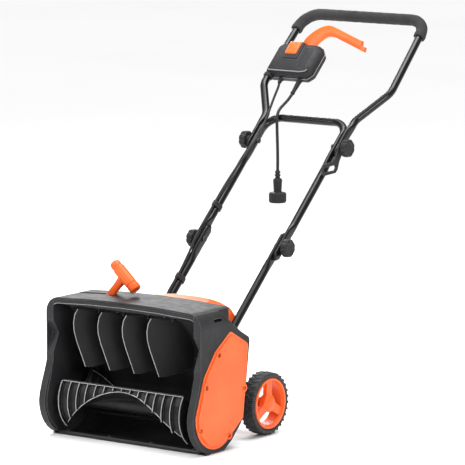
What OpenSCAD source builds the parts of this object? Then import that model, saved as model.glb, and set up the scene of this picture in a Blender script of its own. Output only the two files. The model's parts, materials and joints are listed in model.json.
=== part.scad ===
// Electric single-stage snow blower with a folding handle.
// The intake faces -Y, the operator stands at +Y, +Z is up, and the origin
// is the middle of the scraper bar's underside, on the ground.

/* [Housing] */
// Width over the two side frames
housing_w = 440; // [420:1:480]
// Wall thickness of the moulded covers
wall = 3.5; // [3:0.5:4]
// Radius of the hood's upper corners, seen from the front
hood_corner_r = 35; // [30:1:38]

/* [Rotor] */
// Radius that the rotor's fins sweep
rotor_r = 78; // [70:1:79]
// Height of the rotor's axis above the ground
rotor_z = 85; // [84:1:88]
// Number of gaps between the rotor's fins
fin_gaps = 14; // [8:1:18]
// Diameter of the rotor's steel shaft
rotor_shaft_d = 16; // [12:1:18]

/* [Drive] */
// Pitch radius of the small pulley on the motor
motor_pulley_r = 11; // [9:1:12]
// Pitch radius of the large pulley on the rotor
rotor_pulley_r = 44; // [36:1:50]
// Radius of the motor's body
motor_r = 38; // [34:1:38]

/* [Snow vanes] */
// Distance between neighbouring vanes
vane_pitch = 70; // [66:1:72]
// Angle that the vanes stand at, either side of straight
vane_yaw = 35; // [20:1:36]

/* [Wheels] */
// Outside radius of the tyres
tyre_r = 73; // [70:1:76]
// Width of the tyres
tyre_w = 38; // [34:1:42]
// Distance between the tyres' outer faces
track_w = 406; // [396:1:420]
// Diameter of the axle
axle_d = 12; // [10:1:14]

/* [Handle] */
// Outside diameter of the handle tubes
tube_d = 19; // [18:1:20]
// Angle of the handle above the horizontal
handle_tilt = 43.2; // [40:0.1:46]
// Diameter of the foam grip
grip_d = 27; // [25:1:30]
// Radius of the turning knobs
knob_r = 22; // [20:1:23]

/* [Hidden] */
$fn = 48;
half_w = housing_w / 2;
frame_t = 20;                          // thickness of a hollow side frame
inner_x = half_w - frame_t;            // inner face of a side frame
rotor_y = 32;
drum_r = rotor_r + 4;                  // inner radius of the drum
lip_r = drum_r + 7.5;                  // radius of the side frames' rounded lower lip
hood_top = 322;                        // hood height at the ends of its straight top
hood_crown = 6;                        // rise of the hood's middle above its ends
hood_front = -28;
hood_back = 104;
fin_t = 2.5;
top_bar_angle = 143;                   // where the paddle's straight edge lies
chevron_angle = 86;                    // how far the paddle's curved edge runs ahead at its ends
paddle_half = 170;
motor_y = 125;
motor_z = 222;
belt_x = half_w - 10;                  // middle of the drive belt
belt_w = 9;
belt_t = 3;
gap = 0.3;                             // clearance between faces that move past each other
run_fit = 0.05;                        // radial clearance of a shaft in its bearing
axle_y = 265;
axle_z = tyre_r;
rim_r = 59;
wheel_in = track_w / 2 - tyre_w;       // inner face of a wheel
vane_xs = [for (i = [-1.5:1:1.5]) i * vane_pitch];
vane_y = 23;
vane_t = 3;
crank_r = 24;                          // distance from a vane's pivot to the link bar
link_y = vane_y + crank_r;
link_travel = crank_r * tan(vane_yaw);
lever_x = -137.2;
lever_y = 58;
lever_z = 284;
lever_tilt = 42;
lever_pin_r = link_travel / sin(lever_tilt);
lever_len = 117.6;
rear_half = 92;                        // half width of the rear housing
fold_y = 650;                          // upper fold joint, where the handle's own frame starts
fold_z = 620;
low_fold = -310;                       // lower fold joint, along the tubes from the upper one
leg_low_x = 108;                       // middle of a lower tube at its foot
leg_x = 114;                           // middle of a middle-tube leg at the lower joint
leg_top_x = 122;
flare_x = 186;                         // where the upper handle is widest
grip_s = 411;
tube_r = tube_d / 2;
tongue_t = 9;                          // thickness of a tube's flattened end
bolt_r = 3;
box_s0 = 205;                          // lower edge of the switch box, along the tubes
box_s1 = 303;
box_x0 = -194;
box_x1 = -62;
box_back = -24;                        // underside of the switch box, across the handle's plane
box_split = -4;
box_front = 16;
bail_s = 292;
bail_z = 2;
bail_x = -112;
bail_rest = 30;                        // angle that the bail stands off the handle's plane
button_x = -140;
button_s = 280;
button_l = 38;
button_w = 34;
motor_gland_x = -150;
lead_gland_x = -95;
gland_z = -8;
lead_end = [-77, 685, 546.1];            // where the power lead enters its plug

charcoal = [0.22, 0.22, 0.23];
black = [0.07, 0.07, 0.075];
orange = [0.95, 0.35, 0.12];
steel = [0.62, 0.63, 0.65];
foam = [0.2, 0.2, 0.2];

// ---------- helpers ----------

function arc(cy, cz, r, a0, a1, n) =
  [for (i = [0:n]) [cy + r * cos(a0 + (a1 - a0) * i / n), cz + r * sin(a0 + (a1 - a0) * i / n)]];

// A profile drawn in Y and Z, extruded along X from x0 to x1
module along_x(x0, x1) {
  translate([x0, 0, 0])
    rotate([90, 0, 90])
      linear_extrude(height = x1 - x0)
        children();
}

// A profile drawn in X and Z, extruded along Y from y0 to y1
module along_y(y0, y1) {
  translate([0, y1, 0])
    rotate([90, 0, 0])
      linear_extrude(height = y1 - y0)
        children();
}

module rod_x(r, x0, x1) {
  translate([x0, 0, 0])
    rotate([0, 90, 0])
      cylinder(r = r, h = x1 - x0);
}

module at_yz(y, z) {
  translate([0, y, z])
    children();
}

module mirrored(side) {
  scale([1, 1, 1])
    mirror([side < 0 ? 1 : 0, 0, 0])
      children();
}

// The handle's own frame: x across, y up along the tubes, z out of the plane to the front
module handle_frame() {
  translate([0, fold_y, fold_z])
    rotate([handle_tilt, 0, 0])
      children();
}

// A straight tube between two points of one plane
module straight(p, q, r) {
  d = q - p;
  translate([p[0], p[1], p[2]])
    rotate([0, acos(d[2] / norm(d)), atan2(d[1], d[0])])
      cylinder(r = r, h = norm(d));
}

// A tube bent in the XY plane through the given corners, with one bend radius for each corner
function turn_at(p, i) = let (u = p[i] - p[i - 1], v = p[i + 1] - p[i])
  atan2(u[0] * v[1] - u[1] * v[0], u * v);
function tangent_at(p, radii, i) = i == 0 || i == len(p) - 1 ? 0 : radii[i - 1] * tan(abs(turn_at(p, i)) / 2);

// The straight lengths run a little way into the bends, which are a hair thinner, so that they join
lap = 1;
module bent_tube(p, radii, r) {
  last = len(p) - 1;
  for (i = [0:last - 1]) {
    u = (p[i + 1] - p[i]) / norm(p[i + 1] - p[i]);
    start = p[i] + u * (tangent_at(p, radii, i) - (i > 0 ? lap : 0));
    end = p[i + 1] - u * (tangent_at(p, radii, i + 1) - (i < last - 1 ? lap : 0));
    translate([start[0], start[1], 0])
      rotate([90, 0, atan2(u[1], u[0]) + 90])
        cylinder(r = r, h = norm(end - start), $fn = 32);
  }
  for (i = [1:last - 1]) {
    u = (p[i] - p[i - 1]) / norm(p[i] - p[i - 1]);
    side = sign(turn_at(p, i));
    start = p[i] - u * tangent_at(p, radii, i);
    centre = start + side * radii[i - 1] * [-u[1], u[0]];
    a0 = atan2(start[1] - centre[1], start[0] - centre[0]);
    translate([centre[0], centre[1], 0])
      rotate([0, 0, side > 0 ? a0 : a0 + turn_at(p, i)])
        rotate_extrude(angle = abs(turn_at(p, i)))
          translate([radii[i - 1], 0])
            circle(r = r - 0.15, $fn = 32);
  }
}

// ---------- outlines ----------

// Outline of the housing seen from the front, drawn in X and Z, inset by d
function front_right(d) = concat(
  [[half_w - d, 0]],
  arc(half_w - hood_corner_r, hood_top - hood_corner_r, hood_corner_r - d, 0, 90, 8),
  [[half_w - hood_corner_r - 90, hood_top + hood_crown * 0.75 - d], [0, hood_top + hood_crown - d]]);
function mirror_x(pts) = [for (i = [len(pts) - 1:-1:0]) [-pts[i][0], pts[i][1]]];
module front_outline(d) {
  polygon(concat(front_right(d), mirror_x(front_right(d))));
}

// Outline of a side frame, drawn in Y and Z
function side_points() = concat(
  [[-28, 175], [-36, 152], [-48, 122], [-55, 100]],
  arc(rotor_y, rotor_z, lip_r, 180, 243, 8),
  [[-4, 3], [61, 3], [86, 19], [118, 48], [130, 62], [136, 100], [144, 145], [150, 190],
   [157, 238], [154, 247], [123, 264], [86, 290], [72, 300], [58, 330], [hood_front, 330]]);

// Outline of a side cover, inset by d
function cover_points(d) = concat(
  [[24 + d, 230 - d * 0.3], [-16 + d, 180], [-38 + d, 122]],
  arc(27, 86, 76 - d, 176, 306, 14),
  [[130 - d, 66 + d * 0.5], [140 - d, 146], [149 - d, 229 - d * 0.4], [145 - d * 0.9, 235 - d * 0.7],
   [86, 268 - d * 1.15], [80, 268 - d * 1.15]]);

// ---------- housing ----------

module hood() {
  color(charcoal)
    difference() {
      union() {
        // top skin between the side frames
        intersection() {
          along_y(hood_front, hood_back)
            difference() {
              front_outline(0);
              front_outline(wall);
            }
          along_x(-inner_x, inner_x)
            polygon([[-40, 280], [hood_back, 280], [hood_back, 340], [-40, 340]]);
        }
        // thick rolled front rim
        intersection() {
          along_y(hood_front, hood_front + 9)
            difference() {
              front_outline(0);
              front_outline(13);
            }
          along_x(-inner_x, inner_x)
            polygon(concat([[0, 290], [hood_front, 290]],
              arc(hood_front + 9, hood_top - 5, 9, 180, 110, 5), [[0, 340]]));
        }
        // strip behind the rim, down to the deflector
        intersection() {
          along_y(hood_front + 9, hood_front + 12)
            front_outline(0);
          along_x(-inner_x, inner_x)
            polygon([[-40, 309], [0, 309], [0, 340], [-40, 340]]);
        }
        // rear wall and cheeks
        intersection() {
          along_y(50, hood_back)
            front_outline(0);
          union() {
            along_x(-inner_x, inner_x)
              polygon([[hood_back - 3, 284], [hood_back, 284], [hood_back, 340], [hood_back - 3, 340]]);
            for (x = [-inner_x, inner_x - 3])
              along_x(x, x + 3)
                polygon([[55, 306], [72, 296], [86, 286], [hood_back, 275], [hood_back, 340], [55, 340]]);
          }
        }
      }
      // slot for the chute lever
      translate([lever_x, lever_y, hood_top])
        cube([112, 14, 40], center = true);
    }
}

deflector_in = [[-18, 306], [8, 302], [28, 294], [44, 281], [60, 258], [76, 228], [88, 198], [91, 188]];

module deflector() {
  color(charcoal)
    difference() {
      union() {
        along_x(-inner_x, inner_x)
          polygon(concat(deflector_in,
            [[97, 188], [97, 194], [92, 200], [79.5, 230], [63.5, 260], [47, 284], [30, 297.7],
             [9, 305.7], [-18, 308.8]]));
        // ears that hold the lever's pin
        for (y = [lever_y - 8.5, lever_y + 4.5])
          translate([lever_x - 9, y, 250])
            cube([18, 4, 40]);
        // seats for the vanes' pivots
        for (x = vane_xs)
          translate([x, vane_y, 292])
            cylinder(r = 8, h = 10);
      }
      for (x = vane_xs)
        translate([x, vane_y, 280])
          cylinder(r = 4 + run_fit, h = 40);
      // the ears stop at the plate's upper face
      along_x(lever_x - 10, lever_x + 10)
        polygon(concat(deflector_in, [[30, 188], [-30, 250]]));
      for (x = vane_xs)
        translate([x, vane_y, 280])
          cylinder(r = 8.5, h = 16.2);
      translate([lever_x, lever_y + 20, lever_z])
        rotate([90, 0, 0])
          cylinder(r = 2.5, h = 40);
    }
}

module drum_liner() {
  color(black)
    along_x(-inner_x, inner_x)
      polygon(concat(
        [[12, 5.5]],
        arc(rotor_y, rotor_z, drum_r, 262, 365, 18),
        [[112, 115], [106, 145], [98, 172], [92, 187.5]],
        [[96, 187.5], [101.5, 173], [109.5, 146], [115.5, 116]],
        arc(rotor_y, rotor_z, drum_r + wall, 365, 262, 18),
        [[12, 2]]));
}

module side_frame(side) {
  color(charcoal)
    mirrored(side)
      difference() {
        intersection() {
          along_x(inner_x, half_w)
            polygon(side_points());
          along_y(-70, 170)
            front_outline(0);
        }
        // seat of the side cover
        along_x(half_w - 3, half_w + 1)
          polygon(cover_points(-gap));
        // hollow for the belt or the bearing
        along_x(inner_x + wall, half_w + 1)
          polygon(cover_points(7));
        // room for the belt's run
        along_x(inner_x + wall, half_w - 3)
          belt_outline(belt_t + 2);
        // V-shaped hollow at the frame's waist, closed by the outer skin
        along_x(inner_x - 1, half_w - 3)
          polygon([[-40, 287], [-8, 236], [-40, 166]]);
        // inner edge of the lower lip is bevelled
        along_x(inner_x - 1, inner_x + 2.5)
          polygon(concat([[-60, 160], [-34, 152], [-50, 100]], arc(rotor_y, rotor_z, lip_r - 5, 180, 236, 6),
            [[-40, 0], [-70, 20]]));
        // pocket in the shoulder behind the hood
        translate([half_w - 9, 40, 299])
          rotate([0, 30, 0])
            cube([16, 30, 12], center = true);
        at_yz(rotor_y, rotor_z)
          rod_x(16, inner_x - 1, inner_x + wall + 1);
        at_yz(motor_y, motor_z)
          rod_x(8, inner_x - 1, inner_x + wall + 1);
        for (z = [56, 154])
          translate([inner_x - 1, z == 56 ? 120 : 144, z])
            rod_x(2, 0, 12);
      }
}

module side_frame_left() {
  side_frame(-1);
}

module side_frame_right() {
  side_frame(1);
}

cover_screw_yz = [[36, 222], [-12, 155], [-34, 60], [131, 133], [74, 34]];

module side_cover(side) {
  color(orange)
    mirrored(side)
      difference() {
        union() {
          along_x(half_w - 3, half_w + 1.5)
            polygon(cover_points(0));
          along_x(half_w + 1.5, half_w + 4)
            polygon(cover_points(9));
        }
        for (p = cover_screw_yz)
          at_yz(p[0], p[1]) {
            rod_x(6.5, half_w - 0.5, half_w + 6);
            rod_x(2.2, half_w - 4, half_w + 6);
          }
      }
}

module side_cover_left() {
  side_cover(-1);
}

module side_cover_right() {
  side_cover(1);
}

module housing_screws() {
  color(steel) {
    for (side = [-1, 1])
      mirrored(side)
        for (p = cover_screw_yz)
          at_yz(p[0], p[1])
            difference() {
              union() {
                rod_x(2.2, half_w - 3, half_w - 0.5);
                rod_x(4.2, half_w - 0.5, half_w + 1.2);
              }
              rod_x(1.6, half_w, half_w + 2, $fn = 6);
            }
    for (x = [-160, -30, 102, 186])
      translate([x, -5, 304])
        rotate([-8.75, 0, 0])
          translate([0, 0, -4])
            cylinder(r = 3.2, h = 3.95);
  }
}

module scraper_bar() {
  color(black)
    difference() {
      along_x(-half_w + 2, half_w - 2)
        polygon([[-8, 0], [8, 0], [12, 2], [12, 5.5], [8, 9], [-8, 9], [-10, 6], [-10, 2]]);
      // only a thin strip runs on under the side frames
      for (side = [-1, 1])
        translate([side * (inner_x + 19.8), 0, 12.8])
          cube([40, 60, 20], center = true);
      for (x = [-1.5:1:1.5])
        translate([x * 120, 0, -1])
          cylinder(r = 2.5, h = 12);
    }
}

module scraper_screws() {
  color(steel)
    for (x = [-1.5:1:1.5])
      translate([x * 120, 0, 1])
        union() {
          cylinder(r = 2.5, h = 8);
          translate([0, 0, 8])
            cylinder(r1 = 4.5, r2 = 3.5, h = 2);
        }
}

// ---------- rear housing and covers ----------

rear_outline = [[118.5, 44], [238, 44], [286, 62], [296, 96], [290, 160], [262, 226], [214, 258], [118.5, 258]];
rear_hollow = [[118, 48], [237, 48], [283, 65], [292, 96], [286, 159], [259, 223], [214, 262], [118, 262]];

module rear_housing() {
  color(charcoal)
    difference() {
      union() {
        along_x(-rear_half, rear_half)
          polygon(rear_outline);
        // wings that close the space behind the side frames
        for (side = [-1, 1])
          mirrored(side)
            along_x(rear_half, inner_x - 1)
              polygon([[118, 62], [122, 62], [140, 160], [148, 236], [145, 244], [121, 260], [118, 260],
                [118, 257], [141, 242], [144, 235], [135, 160]]);
        for (side = [-1, 1])
          mirrored(side)
            along_x(116.4, inner_x - 1)
              polygon([[145, 240], [148, 240], [146, 246], [122, 262], [108, 283], [105, 283], [105, 281],
                [119, 260], [142, 244]]);
        // shelf that carries the motor
        translate([-64, 118.6, 156])
          cube([128, 90, 6]);
        // sockets for the handle's tubes
        handle_frame()
          for (side = [-1, 1])
            mirrored(side)
              translate([rear_half - 1, low_fold - 305, -14])
                cube([leg_low_x + 14 - rear_half, 62, 28]);
        // axle carriers
        for (side = [-1, 1])
          mirrored(side)
            at_yz(axle_y, axle_z)
              rod_x(14, rear_half - 4, wheel_in - 3);
      }
      difference() {
        along_x(-rear_half + wall, rear_half - wall)
          polygon(rear_hollow);
        translate([-64, 118.6, 156])
          cube([128, 90, 6]);
      }
      at_yz(axle_y, axle_z)
        rod_x(axle_d / 2, -half_w, half_w);
      handle_frame()
        for (side = [-1, 1])
          mirrored(side)
            straight([leg_low_x, low_fold - 300, 0], [leg_low_x, low_fold, 0], tube_r);
      // passage of the motor's shaft
      at_yz(motor_y, motor_z)
        rod_x(9, rear_half - 5, inner_x + 1);
      // screws of the tube sockets
      handle_frame()
        for (side = [-1, 1])
          mirrored(side)
            translate([0, low_fold - 270, 0])
              rod_x(bolt_r, rear_half - 6, leg_low_x + 16);
      // cable entry
      handle_frame()
        translate([cable_low[0][0], cable_low[0][1], cable_low[0][2]])
          rotate([-90, 0, 0])
            cylinder(r = 4.5, h = 40);
    }
}

function cover_arch(hw, top, low, d) = [[-hw + d, low - 1], [-hw + d, top - 26], [-hw + 34 + d * 0.4, top - 4 - d],
  [-hw / 3, top - d], [hw / 3, top - d], [hw - 34 - d * 0.4, top - 4 - d], [hw - d, top - 26], [hw - d, low - 1]];

module top_cover() {
  color(orange)
    difference() {
      union() {
        along_y(hood_back + 1, 196)
          polygon(cover_arch(116, 313, 263, 0));
        intersection() {
          along_y(180, 290)
            polygon(cover_arch(96, 313, 200, 0));
          along_x(-100, 100)
            polygon([[180, 263], [220, 263], [264, 232], [292, 170], [292, 200], [276, 262], [240, 300],
              [196, 320], [180, 320]]);
        }
      }
      along_y(hood_back - 5, 192)
        polygon(cover_arch(116, 313, 255, 3));
      intersection() {
        along_y(178, 300)
          polygon(cover_arch(96, 313, 180, 3));
        along_x(-100, 100)
          polygon([[178, 200], [292, 100], [289, 200], [273, 260], [238, 297], [195, 317], [178, 317]]);
      }
      // cable entry
      handle_frame()
        for (i = [0:2])
          straight(cable_low[i], cable_low[i + 1], 5);
      // vents for the motor
      for (i = [0:6])
        translate([-54 + i * 18, 236, 300])
          rotate([-38, 0, 0])
            cube([7, 30, 40], center = true);
    }
}

// ---------- drive ----------

module motor() {
  color(steel)
    at_yz(motor_y, motor_z)
      difference() {
        union() {
          rod_x(motor_r, -60, 52);
          rod_x(motor_r - 10, 52, 62);
          rod_x(motor_r - 14, -68, -60);
          // feet that sit on the rear housing's floor frame
          for (x = [-46, 34])
            translate([x, -6, -60])
              cube([12, 40, 30]);
        }
        rod_x(6 + run_fit, -80, 80);
        for (a = [0:30:330])
          rotate([a, 0, 0])
            translate([-61, motor_r - 4, -2])
              cube([20, 6, 4]);
      }
}

module motor_shaft() {
  color(steel)
    at_yz(motor_y, motor_z)
      rod_x(6, 3.6 - rear_half, half_w - 6);
}

module motor_fan() {
  color(black)
    at_yz(motor_y, motor_z)
      difference() {
        union() {
          rod_x(10, -88, -72);
          rod_x(34, -74, -72);
          for (a = [0:40:320])
            rotate([a, 0, 0])
              translate([-88, 9, -1])
                cube([15, 24, 2]);
        }
        rod_x(6, -100, -60);
      }
}

module pulley(r, bore) {
  difference() {
    union() {
      rod_x(r, belt_x - belt_w / 2, belt_x + belt_w / 2);
      rod_x(r + 3, belt_x - belt_w / 2 - 1.8, belt_x - belt_w / 2);
      rod_x(r + 3, belt_x + belt_w / 2, belt_x + belt_w / 2 + 1.8);
    }
    rod_x(bore, belt_x - 20, belt_x + 20);
  }
}

module motor_pulley() {
  color(steel)
    at_yz(motor_y, motor_z)
      pulley(motor_pulley_r, 6);
}

module rotor_pulley() {
  color(black)
    at_yz(rotor_y, rotor_z)
      difference() {
        pulley(rotor_pulley_r, rotor_shaft_d / 2);
        for (a = [0:60:300])
          rotate([a, 0, 0])
            translate([0, 27, 0])
              rod_x(7, belt_x - 20, belt_x + 20);
      }
}

module belt_outline(extra) {
  hull() {
    translate([motor_y, motor_z])
      circle(r = motor_pulley_r + extra, $fn = 32);
    translate([rotor_y, rotor_z])
      circle(r = rotor_pulley_r + extra, $fn = 64);
  }
}

module drive_belt() {
  color(black)
    along_x(belt_x - belt_w / 2 + gap, belt_x + belt_w / 2 - gap)
      difference() {
        belt_outline(gap + belt_t);
        belt_outline(gap);
      }
}

// ---------- rotor ----------

// Angle of the paddle's curved edge at a place across its width
function edge_angle(x) = top_bar_angle + 5 + (chevron_angle - 5) * pow(abs(x) / paddle_half, 1.9);

function sector(r0, r1, a0, a1, n) = concat(
  [for (i = [0:n]) [r1 * cos(a0 + (a1 - a0) * i / n), r1 * sin(a0 + (a1 - a0) * i / n)]],
  [[r0 * cos(a1), r0 * sin(a1)], [r0 * cos(a0), r0 * sin(a0)]]);

// One section of a paddle's body: a thin curved shell with a scoop face to the hub
function paddle_ring(x, n) =
  [for (p = sector(20, rotor_r - 7, top_bar_angle, edge_angle(x), n)) [x, p[0], p[1]]];

module paddle(stations, n) {
  rings = [for (i = [0:stations]) paddle_ring(-paddle_half + 2 * paddle_half * i / stations, n)];
  m = n + 3;
  points = [for (ring = rings) for (p = ring) p];
  faces = concat(
    [[for (j = [0:m - 1]) j]],
    [for (i = [0:stations - 1]) for (j = [0:m - 1]) for (k = [0, 1])
      k == 0
        ? [i * m + j, (i + 1) * m + (j + 1) % m, i * m + (j + 1) % m]
        : [i * m + j, (i + 1) * m + j, (i + 1) * m + (j + 1) % m]],
    [[for (j = [m - 1:-1:0]) stations * m + j]]);
  polyhedron(points = points, faces = faces, convexity = 6);
}

module rotor() {
  color(black)
    at_yz(rotor_y, rotor_z)
      difference() {
        union() {
          rod_x(22, -paddle_half, paddle_half);
          for (turn = [0, 180])
            rotate([turn, 0, 0]) {
              paddle(24, 9);
              // straight bar along the paddle's upper edge
              rotate([top_bar_angle, 0, 0])
                translate([-paddle_half, rotor_r - 8, -3.5])
                  cube([2 * paddle_half, 7, 4]);
              for (i = [1:fin_gaps - 1]) {
                x = -paddle_half + 2 * paddle_half * i / fin_gaps;
                along_x(x - fin_t / 2, x + fin_t / 2)
                  polygon(sector(30, rotor_r, top_bar_angle, edge_angle(x), 16));
              }
              for (side = [-1, 1])
                mirrored(side)
                  along_x(paddle_half, paddle_half + 4)
                    polygon(sector(12, rotor_r, top_bar_angle, top_bar_angle + chevron_angle + 4, 20));
            }
        }
        rod_x(rotor_shaft_d / 2, -half_w, half_w);
      }
}

module rotor_shaft() {
  color(steel)
    at_yz(rotor_y, rotor_z)
      rod_x(rotor_shaft_d / 2, -half_w + 8, half_w - 4);
}

module rotor_bearings() {
  color(steel)
    for (side = [-1, 1])
      mirrored(side)
        at_yz(rotor_y, rotor_z)
          difference() {
            union() {
              rod_x(16, inner_x, inner_x + wall);
              rod_x(20, inner_x - 3, inner_x);
            }
            rod_x(rotor_shaft_d / 2 + run_fit, inner_x - 10, inner_x + 10);
          }
}

// ---------- wheels ----------

module axle() {
  color(steel)
    at_yz(axle_y, axle_z)
      rod_x(axle_d / 2, -track_w / 2 + 6, track_w / 2 - 6);
}

module axle_clips() {
  color(steel)
    for (side = [-1, 1])
      mirrored(side)
        at_yz(axle_y, axle_z)
          difference() {
            rod_x(9, track_w / 2 - 10, track_w / 2 - 8.5);
            rod_x(axle_d / 2, 0, half_w);
          }
}

module rim(side) {
  out = track_w / 2;
  color(orange)
    mirrored(side)
      at_yz(axle_y, axle_z)
        difference() {
          union() {
            translate([wheel_in, 0, 0])
              rotate([0, 90, 0])
                rotate_extrude($fn = 72)
                  polygon([[rim_r - 8, 4], [rim_r - 4, 4], [rim_r - 3, tyre_w - 6], [rim_r, tyre_w - 3],
                    [rim_r - 1, tyre_w], [rim_r - 5, tyre_w], [rim_r - 8, tyre_w - 8]]);
            for (a = [90, 210, 330])
              rotate([a - 90, 0, 0])
                along_x(out - 16, out - 5)
                  polygon([[-15, 0], [15, 0], [10, 22], [9, rim_r - 6], [-9, rim_r - 6], [-10, 22]]);
            rod_x(20, out - 20, out - 4);
            rod_x(13, wheel_in + 1, out - 4);
          }
          rod_x(axle_d / 2 + run_fit, wheel_in - 10, out - 12);
          rod_x(11, out - 12, out - 1);
        }
  // round hub cap
  color(orange)
    mirrored(side)
      at_yz(axle_y, axle_z)
        rotate([0, 90, 0])
          translate([0, 0, out - 5])
            rotate_extrude($fn = 72)
              polygon([[10, 0], [19, 0], [19, 2], [17, 4], [10, 6.5], [0, 7.5], [0, 6], [9.5, 5]]);
}

module rim_left() {
  rim(-1);
}

module rim_right() {
  rim(1);
}

module tyre(side) {
  color(black)
    mirrored(side)
      at_yz(axle_y, axle_z)
        translate([wheel_in, 0, 0])
          rotate([0, 90, 0])
            rotate_extrude($fn = 72)
              polygon([[rim_r - 3.8, 5], [rim_r, 1], [tyre_r - 5, 0], [tyre_r, 5], [tyre_r, tyre_w - 5],
                [tyre_r - 5, tyre_w], [rim_r + 0.2, tyre_w - 2.5], [rim_r + 0.2, tyre_w - 3.2],
                [rim_r - 2.8, tyre_w - 6]]);
}

module tyre_left() {
  tyre(-1);
}

module tyre_right() {
  tyre(1);
}

// ---------- snow vanes and their lever ----------

// Blade outline: distance behind the pivot, and height
vane_outline = [[-52, 298], [-59, 286], [-62, 268], [-61, 250], [-55, 226], [-34, 164], [-20, 163],
  [5, 168], [30, 174], [45, 182], [51, 205], [49, 228], [43, 242], [35, 256], [23, 273], [11, 285],
  [4, 291], [-20, 294]];

module vane(i) {
  color(black)
    translate([vane_xs[i], vane_y, 0])
      rotate([0, 0, -vane_yaw]) {
        along_x(-vane_t / 2, vane_t / 2)
          polygon(vane_outline);
        translate([0, 0, 288])
          cylinder(r = 4, h = 20);
        difference() {
          translate([-7, -6, 304.5])
            cube([14, crank_r + 17, 3.5]);
          // slot that the link bar's pin slides in
          translate([-3.6, crank_r - 4, 300])
            cube([7.2, 13, 12]);
        }
      }
}

module vane_1() {
  vane(0);
}

module vane_2() {
  vane(1);
}

module vane_3() {
  vane(2);
}

module vane_4() {
  vane(3);
}

module vane_link() {
  shift = link_travel;
  color(steel)
    difference() {
      union() {
        translate([lever_x + shift - 12, link_y - 5, 309])
          cube([vane_xs[3] + 24 - lever_x, 10, 3]);
        for (x = vane_xs)
          translate([x + shift, link_y, 303])
            cylinder(r = 2.5, h = 7);
        // tab that the lever's pin drives
        translate([lever_x + shift - 12, link_y, 296])
          cube([19.5, 3.5, 20]);
      }
      translate([lever_x + shift - 3.2, link_y - 8, 299.4])
        cube([6.4, 16, 13]);
    }
}

module chute_lever() {
  color(orange)
    translate([lever_x, lever_y, lever_z])
      rotate([0, lever_tilt, 0]) {
        difference() {
          union() {
            rotate([90, 0, 0])
              cylinder(r = 6, h = 8, center = true);
            along_y(-4, 4)
              polygon([[-6, 0], [6, 0], [10, 26], [8.5, lever_len - 8], [-8.5, lever_len - 8], [-10, 26]]);
          }
          rotate([90, 0, 0])
            cylinder(r = 2.5 + run_fit, h = 30, center = true);
        }
        // pin that moves the link bar
        translate([0, -3, lever_pin_r])
          rotate([90, 0, 0])
            cylinder(r = 2.5, h = 11);
        // cross grip with a stepped end
        translate([0, 0, lever_len])
          rotate([0, 90, 0])
            union() {
              cylinder(r = 14, h = 76, center = true);
              translate([0, 0, 38])
                cylinder(r1 = 14, r2 = 9, h = 5);
              translate([0, 0, -43])
                cylinder(r1 = 9, r2 = 14, h = 5);
            }
      }
}

module lever_pin() {
  color(steel)
    translate([lever_x, lever_y + 10, lever_z])
      rotate([90, 0, 0])
        cylinder(r = 2.5, h = 18.5);
}

// ---------- handle ----------

// A tube's flattened end: a tongue with a round tip and a bolt hole
module tongue(x, s0, s1) {
  translate([x - tongue_t / 2, s0, -12])
    cube([tongue_t, s1 - s0, 24]);
}

module lower_tube(side) {
  color(black)
    handle_frame()
      mirrored(side)
        difference() {
          union() {
            straight([leg_low_x, low_fold - 296, 0], [leg_x - 6, low_fold - 50, 0], tube_r);
            tongue(leg_x - 5, low_fold - 58, low_fold + 40);
          }
          translate([0, low_fold, 0])
            rod_x(bolt_r, leg_x - 20, leg_x + 20);
          translate([0, low_fold - 270, 0])
            rod_x(bolt_r, leg_low_x - 16, leg_low_x + 20);
        }
}

module lower_tube_left() {
  lower_tube(-1);
}

module lower_tube_right() {
  lower_tube(1);
}

module tube_screws() {
  color(steel)
    handle_frame()
      for (side = [-1, 1])
        mirrored(side)
          translate([0, low_fold - 270, 0])
            union() {
              rod_x(bolt_r, rear_half - 4, leg_low_x + 14);
              rod_x(6, leg_low_x + 13, leg_low_x + 17);
            }
}

// The middle tube is an upside-down U with its legs outside the lower tubes' tongues
bar_s = 75;
mid_low_x = leg_x + 4.3;               // middle of the middle tube's lower tongues
mid_top_x = 117.5;                     // middle of its upper, flattened places
mid_path = [[119, low_fold + 46], [119.5, bar_s], [-119.5, bar_s], [-119, low_fold + 46]];

module middle_tube() {
  color(black)
    handle_frame()
      difference() {
        union() {
          bent_tube(mid_path, [42, 42], tube_r);
          for (x = [-mid_low_x, mid_low_x])
            tongue(x, low_fold - 36, low_fold + 56);
        }
        // flats where the upper handle's tongues lie
        for (x = [-mid_top_x - 20, mid_top_x + 5.5])
          translate([x, -50, -20])
            cube([14.5, 114, 40]);
        for (s = [0, low_fold])
          translate([0, s, 0])
            rod_x(bolt_r, -leg_top_x - 20, leg_top_x + 20);
      }
}

module fold_bolt(side, s, x0, x1) {
  handle_frame()
    mirrored(side)
      translate([0, s, 0])
        union() {
          rod_x(bolt_r - run_fit, x0, x1 + 13);
          rod_x(7, x0 - 3, x0);
        }
}

module fold_bolts_lower() {
  color(steel)
    for (side = [-1, 1])
      fold_bolt(side, low_fold, leg_x - 9.5, knob_low_x);
}

module fold_bolts_upper() {
  color(steel)
    for (side = [-1, 1])
      fold_bolt(side, 0, mid_top_x - 7.8, knob_up_x + 1);
}

// Lobed knob on the outside of a fold joint
module knob(side, s, x0) {
  color(charcoal)
    handle_frame()
      mirrored(side)
        translate([0, s, 0])
          difference() {
            union() {
              rod_x(10, x0, x0 + 5);
              rod_x(knob_r - 3, x0 + 5, x0 + 19);
              for (a = [0:60:300])
                rotate([a, 0, 0])
                  translate([0, knob_r - 6, 0])
                    rod_x(6, x0 + 5, x0 + 19);
              translate([x0 + 19, 0, 0])
                rotate([0, 90, 0])
                  cylinder(r1 = knob_r - 3, r2 = knob_r - 7, h = 3);
            }
            rod_x(bolt_r, x0 - 1, x0 + 16);
          }
}

knob_low_x = mid_low_x + tongue_t / 2 + gap;
knob_up_x = mid_top_x + 5.8 + tongue_t + gap;

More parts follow.
